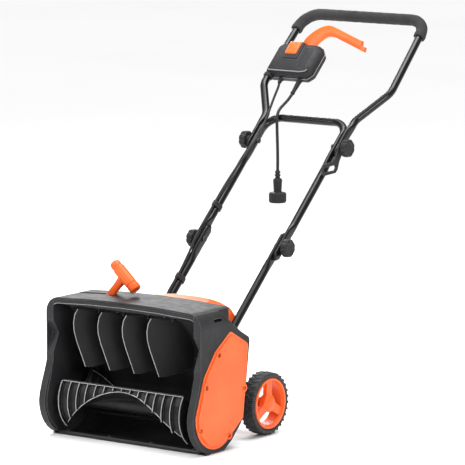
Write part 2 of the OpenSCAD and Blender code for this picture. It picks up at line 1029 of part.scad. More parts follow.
module knob_lower_left() {
  knob(-1, low_fold, knob_low_x);
}

module knob_lower_right() {
  knob(1, low_fold, knob_low_x);
}

module knob_upper_left() {
  knob(-1, 0, knob_up_x);
}

module knob_upper_right() {
  knob(1, 0, knob_up_x + 3.3);
}

// Flat plate with a slot that holds the extension lead
module cord_hook() {
  color(charcoal)
    difference() {
      translate([0, fold_y, fold_z])
        along_x(knob_up_x, knob_up_x + 3)
          polygon([[-10, 14], [4, 15], [14, 4], [-12, -30], [-20, -50], [-28, -57], [-76, -59], [-83, -53],
            [-84, -40], [-78, -32], [-44, -29], [-30, -22], [-14, 4]]);
      translate([0, fold_y, fold_z])
        along_x(knob_up_x - 1, knob_up_x + 4)
          polygon([[-74, -51], [-33, -50], [-28, -45], [-32, -38], [-74, -40], [-77, -45]]);
      translate([0, fold_y, fold_z])
        rod_x(bolt_r, knob_up_x - 2, knob_up_x + 12);
    }
}

up_x = mid_top_x + 5.8 + tongue_t / 2; // middle of the upper handle's tongues
up_path = [[129.5, 66], [129.5, 84], [flare_x, 178], [178, grip_s], [-178, grip_s], [-flare_x, 178],
  [-129.5, 84], [-129.5, 66]];
up_radii = [40, 45, 48, 48, 45, 40];
grip_path = [[180.4, 352], [178, grip_s], [-178, grip_s], [-180.4, 352]];

module upper_handle() {
  color(black)
    handle_frame()
      difference() {
        union() {
          bent_tube(up_path, up_radii, tube_r);
          for (x = [-up_x, up_x])
            tongue(x, -26, 76);
        }
        rod_x(bolt_r, -leg_top_x - 20, leg_top_x + 20);
      }
}

module foam_grip() {
  color(foam)
    handle_frame()
      difference() {
        bent_tube(grip_path, [48, 48], grip_d / 2);
        bent_tube(up_path, up_radii, tube_r);
      }
}

// ---------- switch box ----------

function box_outline(d) = [[box_x0 + 8 + d, box_s0 + d], [box_x1 - 10 - d, box_s0 + d], [box_x1 - d, box_s0 + 12 + d],
  [box_x1 - d, box_s1 - 14 - d], [box_x1 - 12 - d, box_s1 - d], [box_x0 + 22 + d, box_s1 - d],
  [box_x0 + d, box_s1 - 12 - d], [box_x0 + d, box_s0 + 8 + d]];

module box_openings() {
  // the handle's tube
  bent_tube(up_path, up_radii, tube_r);
  // the bail lever's slot in the upper edge
  translate([bail_x - 17, bail_s - 9, box_split + 0.2])
    cube([46, 40, 12.4 - box_split]);
  // the pin of the bail
  translate([0, bail_s, bail_z])
    rod_x(2.5, bail_x - 30, bail_x + 30);
  // glands in the lower edge
  for (x = [motor_gland_x, lead_gland_x])
    translate([x, box_s0 + 15, gland_z])
      rotate([90, 0, 0])
        cylinder(r = 5.5, h = 40, center = true);
}

module switch_box_front() {
  color(charcoal)
    handle_frame()
      difference() {
        union() {
          translate([0, 0, box_split])
            linear_extrude(height = box_front - 3 - box_split)
              polygon(box_outline(0));
          translate([0, 0, box_front - 3])
            linear_extrude(height = 3)
              polygon(box_outline(3));
          // raised frame round the button
          translate([button_x - 20, button_s - 34, box_front])
            cube([46, 56, 4.5]);
        }
        translate([0, 0, box_split - 1])
          linear_extrude(height = box_front - box_split - 2.5)
            polygon(box_outline(3));
        translate([button_x - button_w / 2, button_s - button_l / 2, box_front - 8])
          cube([button_w, button_l, 20]);
        box_openings();
      }
}

module switch_box_back() {
  color(charcoal)
    handle_frame()
      difference() {
        union() {
          translate([0, 0, box_back])
            linear_extrude(height = 3)
              polygon(box_outline(2));
          translate([0, 0, box_back + 3])
            linear_extrude(height = box_split - box_back - 3.2)
              polygon(box_outline(-1));
        }
        difference() {
          translate([0, 0, box_back + 3])
            linear_extrude(height = 40)
              polygon(box_outline(3));
          // ribs that hold the bail's pin
          for (x = [bail_x - 23, bail_x + 20])
            translate([x, bail_s - 6, box_back])
              cube([3, 12, box_split - box_back - 0.2]);
        }
        box_openings();
      }
}

module switch_module() {
  color(black)
    handle_frame()
      translate([-152, 222, -20])
        cube([62, 34, 23]);
}

module lock_button() {
  color(orange)
    handle_frame()
      translate([button_x, button_s, 0])
        union() {
          translate([-button_w / 2 + gap, -button_l / 2 + gap, box_front - 1])
            cube([button_w - 2 * gap, button_l - 2 * gap, 9]);
          translate([-6, -6, 4])
            cube([12, 12, box_front - 4]);
        }
}

bail_outline = [[-126, 0], [-128, 22], [-115, 38], [-92, 55], [-68, 64], [-49, 62], [-18, 52], [40, 32],
  [41, 19], [52, 17], [52, 5], [43, 7], [11, 19], [-36, 35], [-55, 37], [-69, 31], [-87, 12], [-98, 0]];

module bail_lever() {
  color(orange)
    handle_frame()
      translate([0, bail_s, bail_z])
        rotate([bail_rest, 0, 0])
          difference() {
            union() {
              rod_x(6, bail_x - 14, bail_x + 14);
              translate([0, 0, -2.5])
                linear_extrude(height = 5)
                  polygon(bail_outline);
            }
            rod_x(2.5 + run_fit, bail_x - 20, bail_x + 20);
          }
}

module bail_pin() {
  color(steel)
    handle_frame()
      translate([0, bail_s, bail_z])
        rod_x(2.5, bail_x - 23, bail_x + 23);
}

// ---------- cables ----------

function unit(v) = v / norm(v);
function smooth(p, i, t) = let (a = p[max(i - 1, 0)], b = p[i], c = p[i + 1], d = p[min(i + 2, len(p) - 1)])
  0.5 * (2 * b + (c - a) * t + (2 * a - 5 * b + 4 * c - d) * t * t + (3 * b - a - 3 * c + d) * t * t * t);
function route(p, k) = concat(
  [for (i = [0:len(p) - 2]) for (j = [0:k - 1]) smooth(p, i, j / k)], [p[len(p) - 1]]);

// A round cable swept along a route of points
module cable(path, d, sides) {
  n = len(path) - 1;
  rings = [for (i = [0:n])
    let (t = unit(path[min(i + 1, n)] - path[max(i - 1, 0)]), u = unit(cross(t, [1, 0, 0])), v = cross(t, u))
      [for (k = [0:sides - 1]) path[i] + d / 2 * (u * cos(360 * k / sides) + v * sin(360 * k / sides))]];
  points = [for (r = rings) for (p = r) p];
  faces = concat(
    [[for (k = [sides - 1:-1:0]) k]],
    [for (i = [0:n - 1]) for (k = [0:sides - 1])
      [i * sides + k, i * sides + (k + 1) % sides, (i + 1) * sides + (k + 1) % sides, (i + 1) * sides + k]],
    [[for (k = [0:sides - 1]) n * sides + k]]);
  polyhedron(points = points, faces = faces, convexity = 8);
}

// Routes in the handle's own frame
cable_low = [[-80, -574, 12.5], [-80, -556, 12.5], [-84, -544, 14], [-98, -515, 17], [-107, -485, 16],
  [-leg_low_x, -450, 15], [-leg_low_x, -418, 15], [-111, -360, 17], [-113.7, -328, 20]];
cable_up = [[-114, -325, 20], [-117, -290, 18], [-119.1, -230, 15], [-119.1, -195, 15], [-116, -150, 17],
  [-108, -95, 21], [-102, -40, 21], [-101, 20, 18], [-111, 70, 14.5], [-129, 127, 4], [-144, 175, -6],
  [-150, 192, gland_z], [-150, 206, gland_z], [-150, 221.5, gland_z]];
lead_out = [[lead_gland_x, 221.5, gland_z], [lead_gland_x, 190, gland_z], [lead_gland_x, 157, gland_z],
  [-94, 143, -5.5], [-90.5, 126, 3], [-86, 110, 16]];

module motor_cable_lower() {
  color(black)
    handle_frame()
      cable(route(cable_low, 4), 6, 8);
}

module motor_cable_upper() {
  color(black)
    handle_frame()
      cable(route(cable_up, 3), 6, 8);
}

module clip_at(x, s) {
  translate([x, s, 0])
    rotate([90, 0, 0])
      difference() {
        hull() {
          cylinder(r = tube_r + 2.5, h = 12, center = true, $fn = 32);
          translate([0, 15, 0])
            cylinder(r = 5, h = 12, center = true, $fn = 32);
        }
        cylinder(r = tube_r + 0.1, h = 20, center = true, $fn = 48);
        translate([0, 15, 0])
          cylinder(r = 3.6, h = 20, center = true, $fn = 48);
      }
}

module cable_clip_lower() {
  color(charcoal)
    handle_frame()
      clip_at(-leg_low_x, -434);
}

module cable_clip_upper() {
  color(charcoal)
    handle_frame()
      clip_at(-119.1, -212);
}

module cable_glands() {
  color(black)
    handle_frame() {
      for (x = [motor_gland_x, lead_gland_x])
        translate([x, box_s0 + 6, gland_z])
          rotate([90, 0, 0])
            difference() {
              union() {
                cylinder(r = 5.5, h = 8);
                translate([0, 0, 8])
                  cylinder(r1 = 6.5, r2 = x < -100 ? 5.4 : 4.6, h = x < -100 ? 8 : 44);
              }
              translate([0, 0, -1])
                cylinder(r = x < -100 ? 4 : 3.7, h = 60);
            }
    }
}

module power_lead() {
  color(black)
    cable(route(lead_points, 3), 7.2, 8);
}

// From the handle's frame to the machine's frame
function placed(p) = [p[0], fold_y + p[1] * cos(handle_tilt) - p[2] * sin(handle_tilt),
  fold_z + p[1] * sin(handle_tilt) + p[2] * cos(handle_tilt)];
lead_points = concat([for (p = lead_out) placed(p)],
  [[-82, 700, 697], [-79, 688.5, 668], [-77.5, 686, 635], [-77, 685, 595], lead_end]);

// Moulded plug: ringed strain relief, neck and round head
module plug() {
  color(black)
    translate([lead_end[0], lead_end[1], 468])
      union() {
        cylinder(r = 20.5, h = 25);
        translate([0, 0, 25])
          cylinder(r1 = 9.5, r2 = 11, h = 30);
        translate([0, 0, 55])
          cylinder(r1 = 11, r2 = 5.5, h = 6);
        cylinder(r = 5.5, h = 78);
        for (z = [65, 72])
          translate([0, 0, z])
            cylinder(r = 7, h = 4);
      }
}

hood();
deflector();
drum_liner();
side_frame_left();
side_frame_right();
side_cover_left();
side_cover_right();
housing_screws();
scraper_bar();
scraper_screws();
rear_housing();
top_cover();
motor();
motor_shaft();
motor_fan();
motor_pulley();
drive_belt();
rotor_pulley();
rotor();
rotor_shaft();
rotor_bearings();
axle();
axle_clips();
rim_left();
rim_right();
tyre_left();
tyre_right();
vane_1();
vane_2();
vane_3();
vane_4();
vane_link();
chute_lever();
lever_pin();
lower_tube_left();
lower_tube_right();
tube_screws();
middle_tube();
fold_bolts_lower();
fold_bolts_upper();
knob_lower_left();
knob_lower_right();
knob_upper_left();
knob_upper_right();
cord_hook();
upper_handle();
foam_grip();
switch_box_front();
switch_box_back();
switch_module();
lock_button();
bail_lever();
bail_pin();
cable_clip_lower();
cable_clip_upper();
motor_cable_lower();
motor_cable_upper();
cable_glands();
power_lead();
plug();
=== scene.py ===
# Snow blower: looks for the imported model. Everything is in metres, with +Z up.
import bpy
import bmesh
import json
import math
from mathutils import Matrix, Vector


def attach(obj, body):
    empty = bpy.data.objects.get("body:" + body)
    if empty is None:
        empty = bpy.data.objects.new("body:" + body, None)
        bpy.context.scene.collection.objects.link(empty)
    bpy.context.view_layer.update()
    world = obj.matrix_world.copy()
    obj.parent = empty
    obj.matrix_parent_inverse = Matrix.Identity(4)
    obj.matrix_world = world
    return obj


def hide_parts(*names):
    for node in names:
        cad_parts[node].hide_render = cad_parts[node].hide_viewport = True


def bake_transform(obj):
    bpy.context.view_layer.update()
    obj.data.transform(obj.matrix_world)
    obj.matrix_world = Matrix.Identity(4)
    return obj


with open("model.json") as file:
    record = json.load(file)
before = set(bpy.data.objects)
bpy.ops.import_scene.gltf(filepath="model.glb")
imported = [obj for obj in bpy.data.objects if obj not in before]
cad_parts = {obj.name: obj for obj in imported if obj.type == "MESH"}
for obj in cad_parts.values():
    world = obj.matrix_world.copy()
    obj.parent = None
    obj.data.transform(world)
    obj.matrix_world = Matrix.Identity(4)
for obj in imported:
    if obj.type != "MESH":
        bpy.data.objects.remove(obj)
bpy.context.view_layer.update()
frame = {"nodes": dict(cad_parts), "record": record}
scene = bpy.context.scene
nodes = frame["nodes"]


# Camera
cameraSet = {
    "place": (4.8959, -6.3449, 1.6814),
    "turn": (81.5, 0.0, 36.0),
    "lens": 278.7,
}


def makeCamera():
    data = bpy.data.cameras.new("camera")
    data.lens = cameraSet["lens"]
    data.sensor_width = 36.0
    data.clip_end = 60.0
    camera = bpy.data.objects.new("camera", data)
    camera.location = cameraSet["place"]
    camera.rotation_euler = [math.radians(a) for a in cameraSet["turn"]]
    scene.collection.objects.link(camera)
    scene.camera = camera


makeCamera()

# Places that several pieces share
bodySet = {"half": 0.220, "axleY": 0.265, "axleZ": 0.073, "rotorY": 0.032, "rotorZ": 0.085}
handleSet = {"foldY": 0.650, "foldZ": 0.620, "tilt": 43.2}


def onHandle(x, s, z=0.0):
    # from the handle's own frame to the machine's
    a = math.radians(handleSet["tilt"])
    return Vector((x, handleSet["foldY"] + s * math.cos(a) - z * math.sin(a),
                   handleSet["foldZ"] + s * math.sin(a) + z * math.cos(a)))


def smoothRoute(points, steps):
    # one smooth curve through the points
    pts = [Vector(p) for p in points]
    out = []
    for i in range(len(pts) - 1):
        a = pts[max(i - 1, 0)]
        b = pts[i]
        c = pts[i + 1]
        d = pts[min(i + 2, len(pts) - 1)]
        for k in range(steps):
            t = k / steps
            out.append(0.5 * (2 * b + (c - a) * t + (2 * a - 5 * b + 4 * c - d) * t * t
                              + (3 * b - a - 3 * c + d) * t * t * t))
    out.append(pts[-1])
    return out


# Materials


class Mat:
    # a small wrapper that keeps node making short
    def __init__(self, name):
        self.mat = bpy.data.materials.new(name)
        self.mat.use_nodes = True
        self.tree = self.mat.node_tree
        self.tree.nodes.clear()
        self.out = self.node("ShaderNodeOutputMaterial")
        self.shader = self.node("ShaderNodeBsdfPrincipled")
        self.link(self.shader, "BSDF", self.out, "Surface")
        self.coord = self.node("ShaderNodeTexCoord")

    def node(self, kind, **values):
        made = self.tree.nodes.new(kind)
        for key, value in values.items():
            setattr(made, key, value)
        return made

    def link(self, a, outName, b, inName):
        self.tree.links.new(a.outputs[outName], b.inputs[inName])

    def noise(self, scale, detail=2.0, rough=0.5, stretch=None):
        made = self.node("ShaderNodeTexNoise")
        made.inputs["Scale"].default_value = scale
        made.inputs["Detail"].default_value = detail
        made.inputs["Roughness"].default_value = rough
        if stretch:
            mapping = self.node("ShaderNodeMapping")
            mapping.inputs["Scale"].default_value = stretch
            self.link(self.coord, "Object", mapping, "Vector")
            self.link(mapping, "Vector", made, "Vector")
        else:
            self.link(self.coord, "Object", made, "Vector")
        return made

    def ramp(self, source, outName, low, high, start=0.35, end=0.65):
        made = self.node("ShaderNodeValToRGB")
        made.color_ramp.elements[0].position = start
        made.color_ramp.elements[1].position = end
        made.color_ramp.elements[0].color = (*low, 1.0)
        made.color_ramp.elements[1].color = (*high, 1.0)
        self.link(source, outName, made, "Fac")
        return made

    def range(self, source, outName, low, high, start=0.3, end=0.7):
        made = self.node("ShaderNodeMapRange")
        made.inputs["From Min"].default_value = start
        made.inputs["From Max"].default_value = end
        made.inputs["To Min"].default_value = low
        made.inputs["To Max"].default_value = high
        self.link(source, outName, made, "Value")
        return made


def edgeMask(m, radius):
    # 1 along sharp edges, 0 on flat faces; it places the painted edge highlights
    bevel = m.node("ShaderNodeBevel", samples=4)
    bevel.inputs["Radius"].default_value = radius
    geo = m.node("ShaderNodeNewGeometry")
    dot = m.node("ShaderNodeVectorMath", operation="DOT_PRODUCT")
    m.link(bevel, "Normal", dot, 0)
    m.link(geo, "Normal", dot, 1)
    return bevel, m.range(dot, "Value", 1.0, 0.0, 0.90, 0.995)


def plastic(name, look):
    # moulded plastic: slight colour drift, fine grain, rounded edges with a painted highlight lightening
    # them
    m = Mat(name)
    drift = m.noise(look.get("driftScale", 9.0), 3.0)
    colour = m.ramp(drift, "Fac", look["low"], look["high"])
    bevel, edge = edgeMask(m, look.get("edge", 0.0016))
    # painted highlight: the edges take the lighter edge colour through this mix
    mix = m.node("ShaderNodeMix", data_type="RGBA")
    m.link(edge, "Result", mix, "Factor")
    m.link(colour, "Color", mix, "A")
    mix.inputs["B"].default_value = (*look["edgeHighlight"], 1.0)
    m.tree.links.new(mix.outputs["Result"], m.shader.inputs["Base Color"])
    grain = m.noise(look.get("grainScale", 1400.0), 2.0, 0.6)
    rough = m.range(m.noise(60.0, 3.0), "Fac", look["roughLow"], look["roughHigh"])
    m.link(rough, "Result", m.shader, "Roughness")
    bump = m.node("ShaderNodeBump")
    bump.inputs["Strength"].default_value = look.get("grain", 0.12)
    bump.inputs["Distance"].default_value = look.get("grainDepth", 0.0004)
    m.link(grain, "Fac", bump, "Height")
    m.link(bevel, "Normal", bump, "Normal")
    m.link(bump, "Normal", m.shader, "Normal")
    for key, value in look.get("shader", {}).items():
        m.shader.inputs[key].default_value = value
    return m.mat


charcoalPlastic = plastic("charcoalPlastic", {
    "low": (0.017, 0.017, 0.018), "high": (0.027, 0.027, 0.029), "edgeHighlight": (0.11, 0.11, 0.115),
    "roughLow": 0.46, "roughHigh": 0.60, "grain": 0.25, "shader": {"Specular IOR Level": 0.2}})
# lighter charcoal for painted highlights on the switch box's ridges
charcoalLight = plastic("charcoalLight", {
    "low": (0.16, 0.16, 0.165), "high": (0.20, 0.20, 0.205), "edgeHighlight": (0.26, 0.26, 0.27),
    "roughLow": 0.34, "roughHigh": 0.46, "grain": 0.15})
edgedBlack = plastic("edgedBlack", {
    "low": (0.006, 0.006, 0.0065), "high": (0.010, 0.010, 0.011), "edgeHighlight": (0.12, 0.12, 0.125),
    "roughLow": 0.36, "roughHigh": 0.50, "grain": 0.15, "edge": 0.0011,
    "shader": {"Specular IOR Level": 0.22}})
# light grey for painted highlights along the edges of vanes, rotor and hood rim
wornEdge = plastic("wornEdge", {
    "low": (0.26, 0.26, 0.27), "high": (0.42, 0.42, 0.43), "edgeHighlight": (0.5, 0.5, 0.5),
    "roughLow": 0.40, "roughHigh": 0.55, "grain": 0.1})
tyreRubber = plastic("tyreRubber", {
    "low": (0.011, 0.011, 0.012), "high": (0.020, 0.020, 0.021), "edgeHighlight": (0.07, 0.07, 0.07),
    "roughLow": 0.55, "roughHigh": 0.75, "grain": 0.3})
blackPlastic = plastic("blackPlastic", {
    "low": (0.009, 0.009, 0.010), "high": (0.015, 0.015, 0.017), "edgeHighlight": (0.06, 0.06, 0.065),
    "roughLow": 0.38, "roughHigh": 0.52, "grain": 0.15, "shader": {"Specular IOR Level": 0.3}})
orangePlastic = plastic("orangePlastic", {
    "low": (0.86, 0.105, 0.012), "high": (0.93, 0.128, 0.017), "edgeHighlight": (1.0, 0.26, 0.09),
    "roughLow": 0.32, "roughHigh": 0.44, "grain": 0.06, "shader": {"Specular IOR Level": 0.35}})
blackCoat = plastic("blackCoat", {
    "low": (0.004, 0.004, 0.0045), "high": (0.007, 0.007, 0.0075), "edgeHighlight": (0.02, 0.02, 0.02),
    "roughLow": 0.16, "roughHigh": 0.22, "grain": 0.01, "grainScale": 300.0,
    "shader": {"Specular IOR Level": 0.2, "Coat Weight": 0.32, "Coat Roughness": 0.06}})
rubberBlack = plastic("rubberBlack", {
    "low": (0.010, 0.010, 0.011), "high": (0.017, 0.017, 0.018), "edgeHighlight": (0.03, 0.03, 0.03),
    "roughLow": 0.5, "roughHigh": 0.68, "grain": 0.2, "shader": {"Specular IOR Level": 0.3}})
foamBlack = plastic("foamBlack", {
    "low": (0.018, 0.018, 0.019), "high": (0.032, 0.032, 0.034), "edgeHighlight": (0.04, 0.04, 0.04),
    "roughLow": 0.85, "roughHigh": 0.98, "grain": 0.9, "grainScale": 900.0, "grainDepth": 0.0012})
steelBright = plastic("steelBright", {
    "low": (0.48, 0.49, 0.50), "high": (0.60, 0.61, 0.62), "edgeHighlight": (0.75, 0.75, 0.76),
    "roughLow": 0.22, "roughHigh": 0.38, "grain": 0.1, "shader": {"Metallic": 1.0}})
darkSteel = plastic("darkSteel", {
    "low": (0.020, 0.020, 0.021), "high": (0.040, 0.040, 0.042), "edgeHighlight": (0.20, 0.20, 0.20),
    "roughLow": 0.30, "roughHigh": 0.44, "grain": 0.1, "shader": {"Metallic": 0.6}})

finishOfSlot = {
    "charcoal": charcoalPlastic, "black_plastic": blackPlastic, "orange": orangePlastic,
    "tube_paint": blackCoat, "steel": steelBright, "tyre": rubberBlack, "foam": foamBlack,
    "rubber": rubberBlack,
}


def dressNodes():
    # every CAD node that stays in view gets its finish
    slots = {p["node"]: p["material_slot"] for p in frame["record"]["subparts"]}
    for name, obj in nodes.items():
        obj.data.materials.clear()
        finish = finishOfSlot[slots[name]]
        if name.startswith("vane_") or name == "rotor":
            finish = edgedBlack
        if name.endswith("_screws") or name.startswith("fold_bolts"):
            finish = darkSteel
        obj.data.materials.append(finish)


dressNodes()
print("finishes ready")


# Mesh helpers


def newPiece(name, verts, faces, body, finish, replaced=(), sharp=32.0):
    mesh = bpy.data.meshes.new(name)
    mesh.from_pydata([tuple(v) for v in verts], [], faces)
    mesh.validate()
    tidy = bmesh.new()
    tidy.from_mesh(mesh)
    bmesh.ops.remove_doubles(tidy, verts=tidy.verts, dist=1e-6)
    bmesh.ops.recalc_face_normals(tidy, faces=tidy.faces)
    tidy.to_mesh(mesh)
    tidy.free()
    mesh.polygons.foreach_set("use_smooth", [True] * len(mesh.polygons))
    mesh.set_sharp_from_angle(angle=math.radians(sharp))
    mesh.materials.append(finish)
    obj = bpy.data.objects.new(name, mesh)
    scene.collection.objects.link(obj)
    if replaced:
        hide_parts(*replaced)
    if body:
        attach(obj, body)
    return obj


def joinParts(parts):
    # several (verts, faces) into one
    verts = []
    faces = []
    for v, f in parts:
        start = len(verts)
        verts.extend(v)
        faces.extend([tuple(i + start for i in face) for face in f])
    return verts, faces


def ringsToMesh(rings, closedEnds=True, closedLoop=False):
    # rings of equally many points, joined in order
    n = len(rings[0])
    verts = [p for ring in rings for p in ring]
    faces = []
    count = len(rings)
    last = count if closedLoop else count - 1
    for i in range(last):
        a = i * n
        b = ((i + 1) % count) * n
        for k in range(n):
            k2 = (k + 1) % n
            faces.append((a + k, a + k2, b + k2, b + k))
    if closedEnds and not closedLoop:
        faces.append(tuple(reversed(range(n))))
        faces.append(tuple(range((count - 1) * n, count * n)))
    return verts, faces


def circleRing(centre, side, up, radius, sides):
    ring = []
    for k in range(sides):
        a = 2 * math.pi * k / sides
        ring.append(centre + radius * (side * math.cos(a) + up * math.sin(a)))
    return ring


def sweepRound(points, radii, sides=20, closedEnds=True):
    # a round section carried along a route without twist
    pts = [Vector(p) for p in points]
    if not isinstance(radii, (list, tuple)):
        radii = [radii] * len(pts)
    rings = []
    side = None
    for i, p in enumerate(pts):
        t = (pts[min(i + 1, len(pts) - 1)] - pts[max(i - 1, 0)]).normalized()
        if side is None:
            side = t.orthogonal().normalized()
        side = (side - t * side.dot(t)).normalized()
        up = t.cross(side)
        rings.append(circleRing(p, side, up, radii[i], sides))
    return ringsToMesh(rings, closedEnds)


def lathe(profile, place, axis, sides=48, closedLoop=False):
    # profile of (distance along axis, radius) turned about the axis
    axis = Vector(axis).normalized()
    side = axis.orthogonal().normalized()
    up = axis.cross(side)
    rings = []
    for along, r in profile:
        rings.append(circleRing(Vector(place) + axis * along, side, up, max(r, 1e-5), sides))
    return ringsToMesh(rings, not closedLoop, closedLoop)


def bentPath(corners, radii, step=6.0):
    # corner points in a plane with rounded corners
    pts = [Vector((c[0], c[1])) for c in corners]
    out = [pts[0]]
    for i in range(1, len(pts) - 1):
        u = (pts[i] - pts[i - 1]).normalized()
        v = (pts[i + 1] - pts[i]).normalized()
        turn = math.atan2(u.x * v.y - u.y * v.x, u.dot(v))
        side = 1.0 if turn > 0 else -1.0
        r = radii[i - 1]
        start = pts[i] - u * (r * math.tan(abs(turn) / 2))
        centre = start + side * r * Vector((-u.y, u.x))
        a0 = math.atan2(start.y - centre.y, start.x - centre.x)
        count = max(3, int(abs(math.degrees(turn)) / step))
        for k in range(count + 1):
            a = a0 + turn * k / count
            out.append(centre + r * Vector((math.cos(a), math.sin(a))))
    out.append(pts[-1])
    return out


def superRing(centre, across, up, a, b, power, sides=32):
    # a section between an ellipse and a rounded box
    ring = []
    for k in range(sides):
        t = 2 * math.pi * k / sides
        c = math.cos(t)
        s = math.sin(t)
        x = a * math.copysign(abs(c) ** (2 / power), c)
        y = b * math.copysign(abs(s) ** (2 / power), s)
        ring.append(centre + across * x + up * y)
    return ring


def bevelled(obj, width, segments=2, angle=30.0):
    mod = obj.modifiers.new("bevel", "BEVEL")
    mod.width = width
    mod.segments = segments
    mod.limit_method = "ANGLE"
    mod.angle_limit = math.radians(angle)
    mod.harden_normals = False
    return obj


def upright(x, y, height):
    return Vector((x, y, height))


def acrossBody(y, z, x):
    return Vector((x, y, z))


def prism(outline, place, low, high):
    # outline in two dimensions, set in space by place(u, v, height)
    n = len(outline)
    verts = [place(p[0], p[1], low) for p in outline]
    verts += [place(p[0], p[1], high) for p in outline]
    faces = [(k, (k + 1) % n, n + (k + 1) % n, n + k) for k in range(n)]
    faces.append(tuple(reversed(range(n))))
    faces.append(tuple(range(n, 2 * n)))
    return verts, faces


def loft(outlines, place, heights):
    # outlines with equally many corners, one for each height
    rings = [[place(p[0], p[1], h) for p in outline] for outline, h in zip(outlines, heights)]
    return ringsToMesh(rings)


def rounded(outline, r, steps=4):
    # rounds the corners of a closed outline
    pts = [Vector((p[0], p[1])) for p in outline]
    n = len(pts)
    out = []
    for i in range(n):
        p = pts[i]
        a = pts[i - 1]
        b = pts[(i + 1) % n]
        u = a - p
        v = b - p
        cut = min(r, u.length * 0.45, v.length * 0.45)
        start = p + u.normalized() * cut
        end = p + v.normalized() * cut
        for k in range(steps + 1):
            t = k / steps
            out.append((1 - t) ** 2 * start + 2 * t * (1 - t) * p + t * t * end)
    return out


# Power lead and its plug

leadSet = {"diameter": 0.0072, "exit": (-0.095, 0.160, -0.008)}
leadNear = [(-0.095, 0.172, -0.008), (-0.095, 0.157, -0.008)]
leadHang = [(-0.0945, 0.754, 0.7105), (-0.0925, 0.738, 0.7035), (-0.0895, 0.722, 0.698),
            (-0.086, 0.706, 0.692), (-0.083, 0.6935, 0.683), (-0.0805, 0.687, 0.668),
            (-0.079, 0.685, 0.648), (-0.078, 0.685, 0.620), (-0.077, 0.685, 0.585),
            (-0.077, 0.685, 0.545)]


def makeLead(plug):
    # out of its gland, over the bar and down to the plug
    points = smoothRoute([onHandle(*p) for p in leadNear] + leadHang, 3)
    data = bpy.data.curves.new("powerLead", "CURVE")
    data.dimensions = "3D"
    spline = data.splines.new("POLY")
    spline.points.add(len(points) - 1)
    for point, p in zip(spline.points, points):
        point.co = (*p, 1.0)
    data.bevel_depth = leadSet["diameter"] / 2
    data.bevel_resolution = 6
    data.use_fill_caps = True
    data.materials.append(rubberBlack)
    lead = bpy.data.objects.new("powerLead", data)
    scene.collection.objects.link(lead)
    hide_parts("power_lead")
    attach(lead, "top_frame")


plugSet = {"place": (-0.077, 0.685, 0.468), "ribs": 18, "ribRadius": 0.0204}
plugHead = [(0.0, 0.0145), (0.0, 0.0190), (0.0015, 0.0205), (0.0225, 0.0205), (0.0245, 0.0190),
            (0.0255, 0.0120), (0.0275, 0.0096), (0.0500, 0.0108), (0.0550, 0.0112), (0.0580, 0.0090),
            (0.0605, 0.0056), (0.0640, 0.0054), (0.0650, 0.0070), (0.0685, 0.0070), (0.0695, 0.0052),
            (0.0715, 0.0052), (0.0725, 0.0066), (0.0755, 0.0066), (0.0770, 0.0048), (0.0790, 0.0040)]


def makePlug():
    x, y, z = plugSet["place"]
    verts, faces = lathe(plugHead, (x, y, z), (0, 0, 1), 40)
    # the head's own end caps are left out
    faces = [f for f in faces if len(f) == 4]
    parts = [(verts, faces)]
    # recess under the head, with its floor
    parts.append(lathe([(0.0, 0.0145), (0.013, 0.0142), (0.013, 0.0)], (x, y, z), (0, 0, 1), 40, True))
    # contacts
    blade = [(-0.0008, -0.003), (0.0008, -0.003), (0.0008, 0.003), (-0.0008, 0.003)]
    for dx, dy in ((-0.0063, 0.0), (0.0063, 0.0), (0.0, 0.007)):
        outline = [(x + dx + u, y + dy + v) for u, v in blade]
        parts.append(prism(outline, upright, z + 0.002, z + 0.014))
    # ribs on the head
    for k in range(plugSet["ribs"]):
        a = 2 * math.pi * k / plugSet["ribs"]
        c = Vector((x + plugSet["ribRadius"] * math.cos(a), y + plugSet["ribRadius"] * math.sin(a), z))
        parts.append(sweepRound([c + Vector((0, 0, 0.003)), c + Vector((0, 0, 0.021))], 0.0009, 6))
    verts, faces = joinParts(parts)
    return newPiece("plugBody", verts, faces, "top_frame", rubberBlack, ["plug"])


makeLead(makePlug())


# Handle tubes

tubeSet = {"radius": 0.0095, "flatThick": 0.0045, "flatWide": 0.012, "lowFold": -0.310, "lowX": 0.108,
           "bar": 0.075, "upX": 0.1295, "flare": 0.186, "gripX": 0.178, "grip": 0.411, "pointStep": 0.004}


def handleRun(path, sections, name, body, finish, replaced):
    # one section for each point of the path: half thickness, half width and squareness
    rings = []
    normal = onHandle(0, 0, 1) - onHandle(0, 0, 0)
    for i, p in enumerate(path):
        a = path[max(i - 1, 0)]
        b = path[min(i + 1, len(path) - 1)]
        t = (b - a).normalized()
        across = onHandle(-t.y, t.x) - onHandle(0, 0)
        thick, wide, power = sections[i]
        rings.append(superRing(onHandle(p.x, p.y), across, normal, thick, wide, power))
    verts, faces = ringsToMesh(rings)
    newPiece(name, verts, faces, body, finish, replaced)


def blendSections(stations, values):
    # interpolates section values along the path's own length
    out = []
    for d in stations:
        for k in range(len(values) - 1):
            if d <= values[k + 1][0] or k == len(values) - 2:
                t = (d - values[k][0]) / max(values[k + 1][0] - values[k][0], 1e-6)
                t = min(max(t, 0.0), 1.0)
                t = t * t * (3 - 2 * t)
                out.append(tuple(a + (b - a) * t for a, b in zip(values[k][1], values[k + 1][1])))
                break
    return out


def densePath(points, step=0.008):
    out = [points[0]]
    for a, b in zip(points, points[1:]):
        count = max(1, int((b - a).length / step))
        for k in range(1, count + 1):
            out.append(a + (b - a) * k / count)
    return out


def lengths(points):
    total = 0.0
    out = [0.0]
    for a, b in zip(points, points[1:]):
        total += (b - a).length
        out.append(total)
    return out


def mirroredLegs(corners):
    # a U: the right leg's corners, then the same ones back down the left leg
    return corners + [(-x, y) for x, y in reversed(corners)]


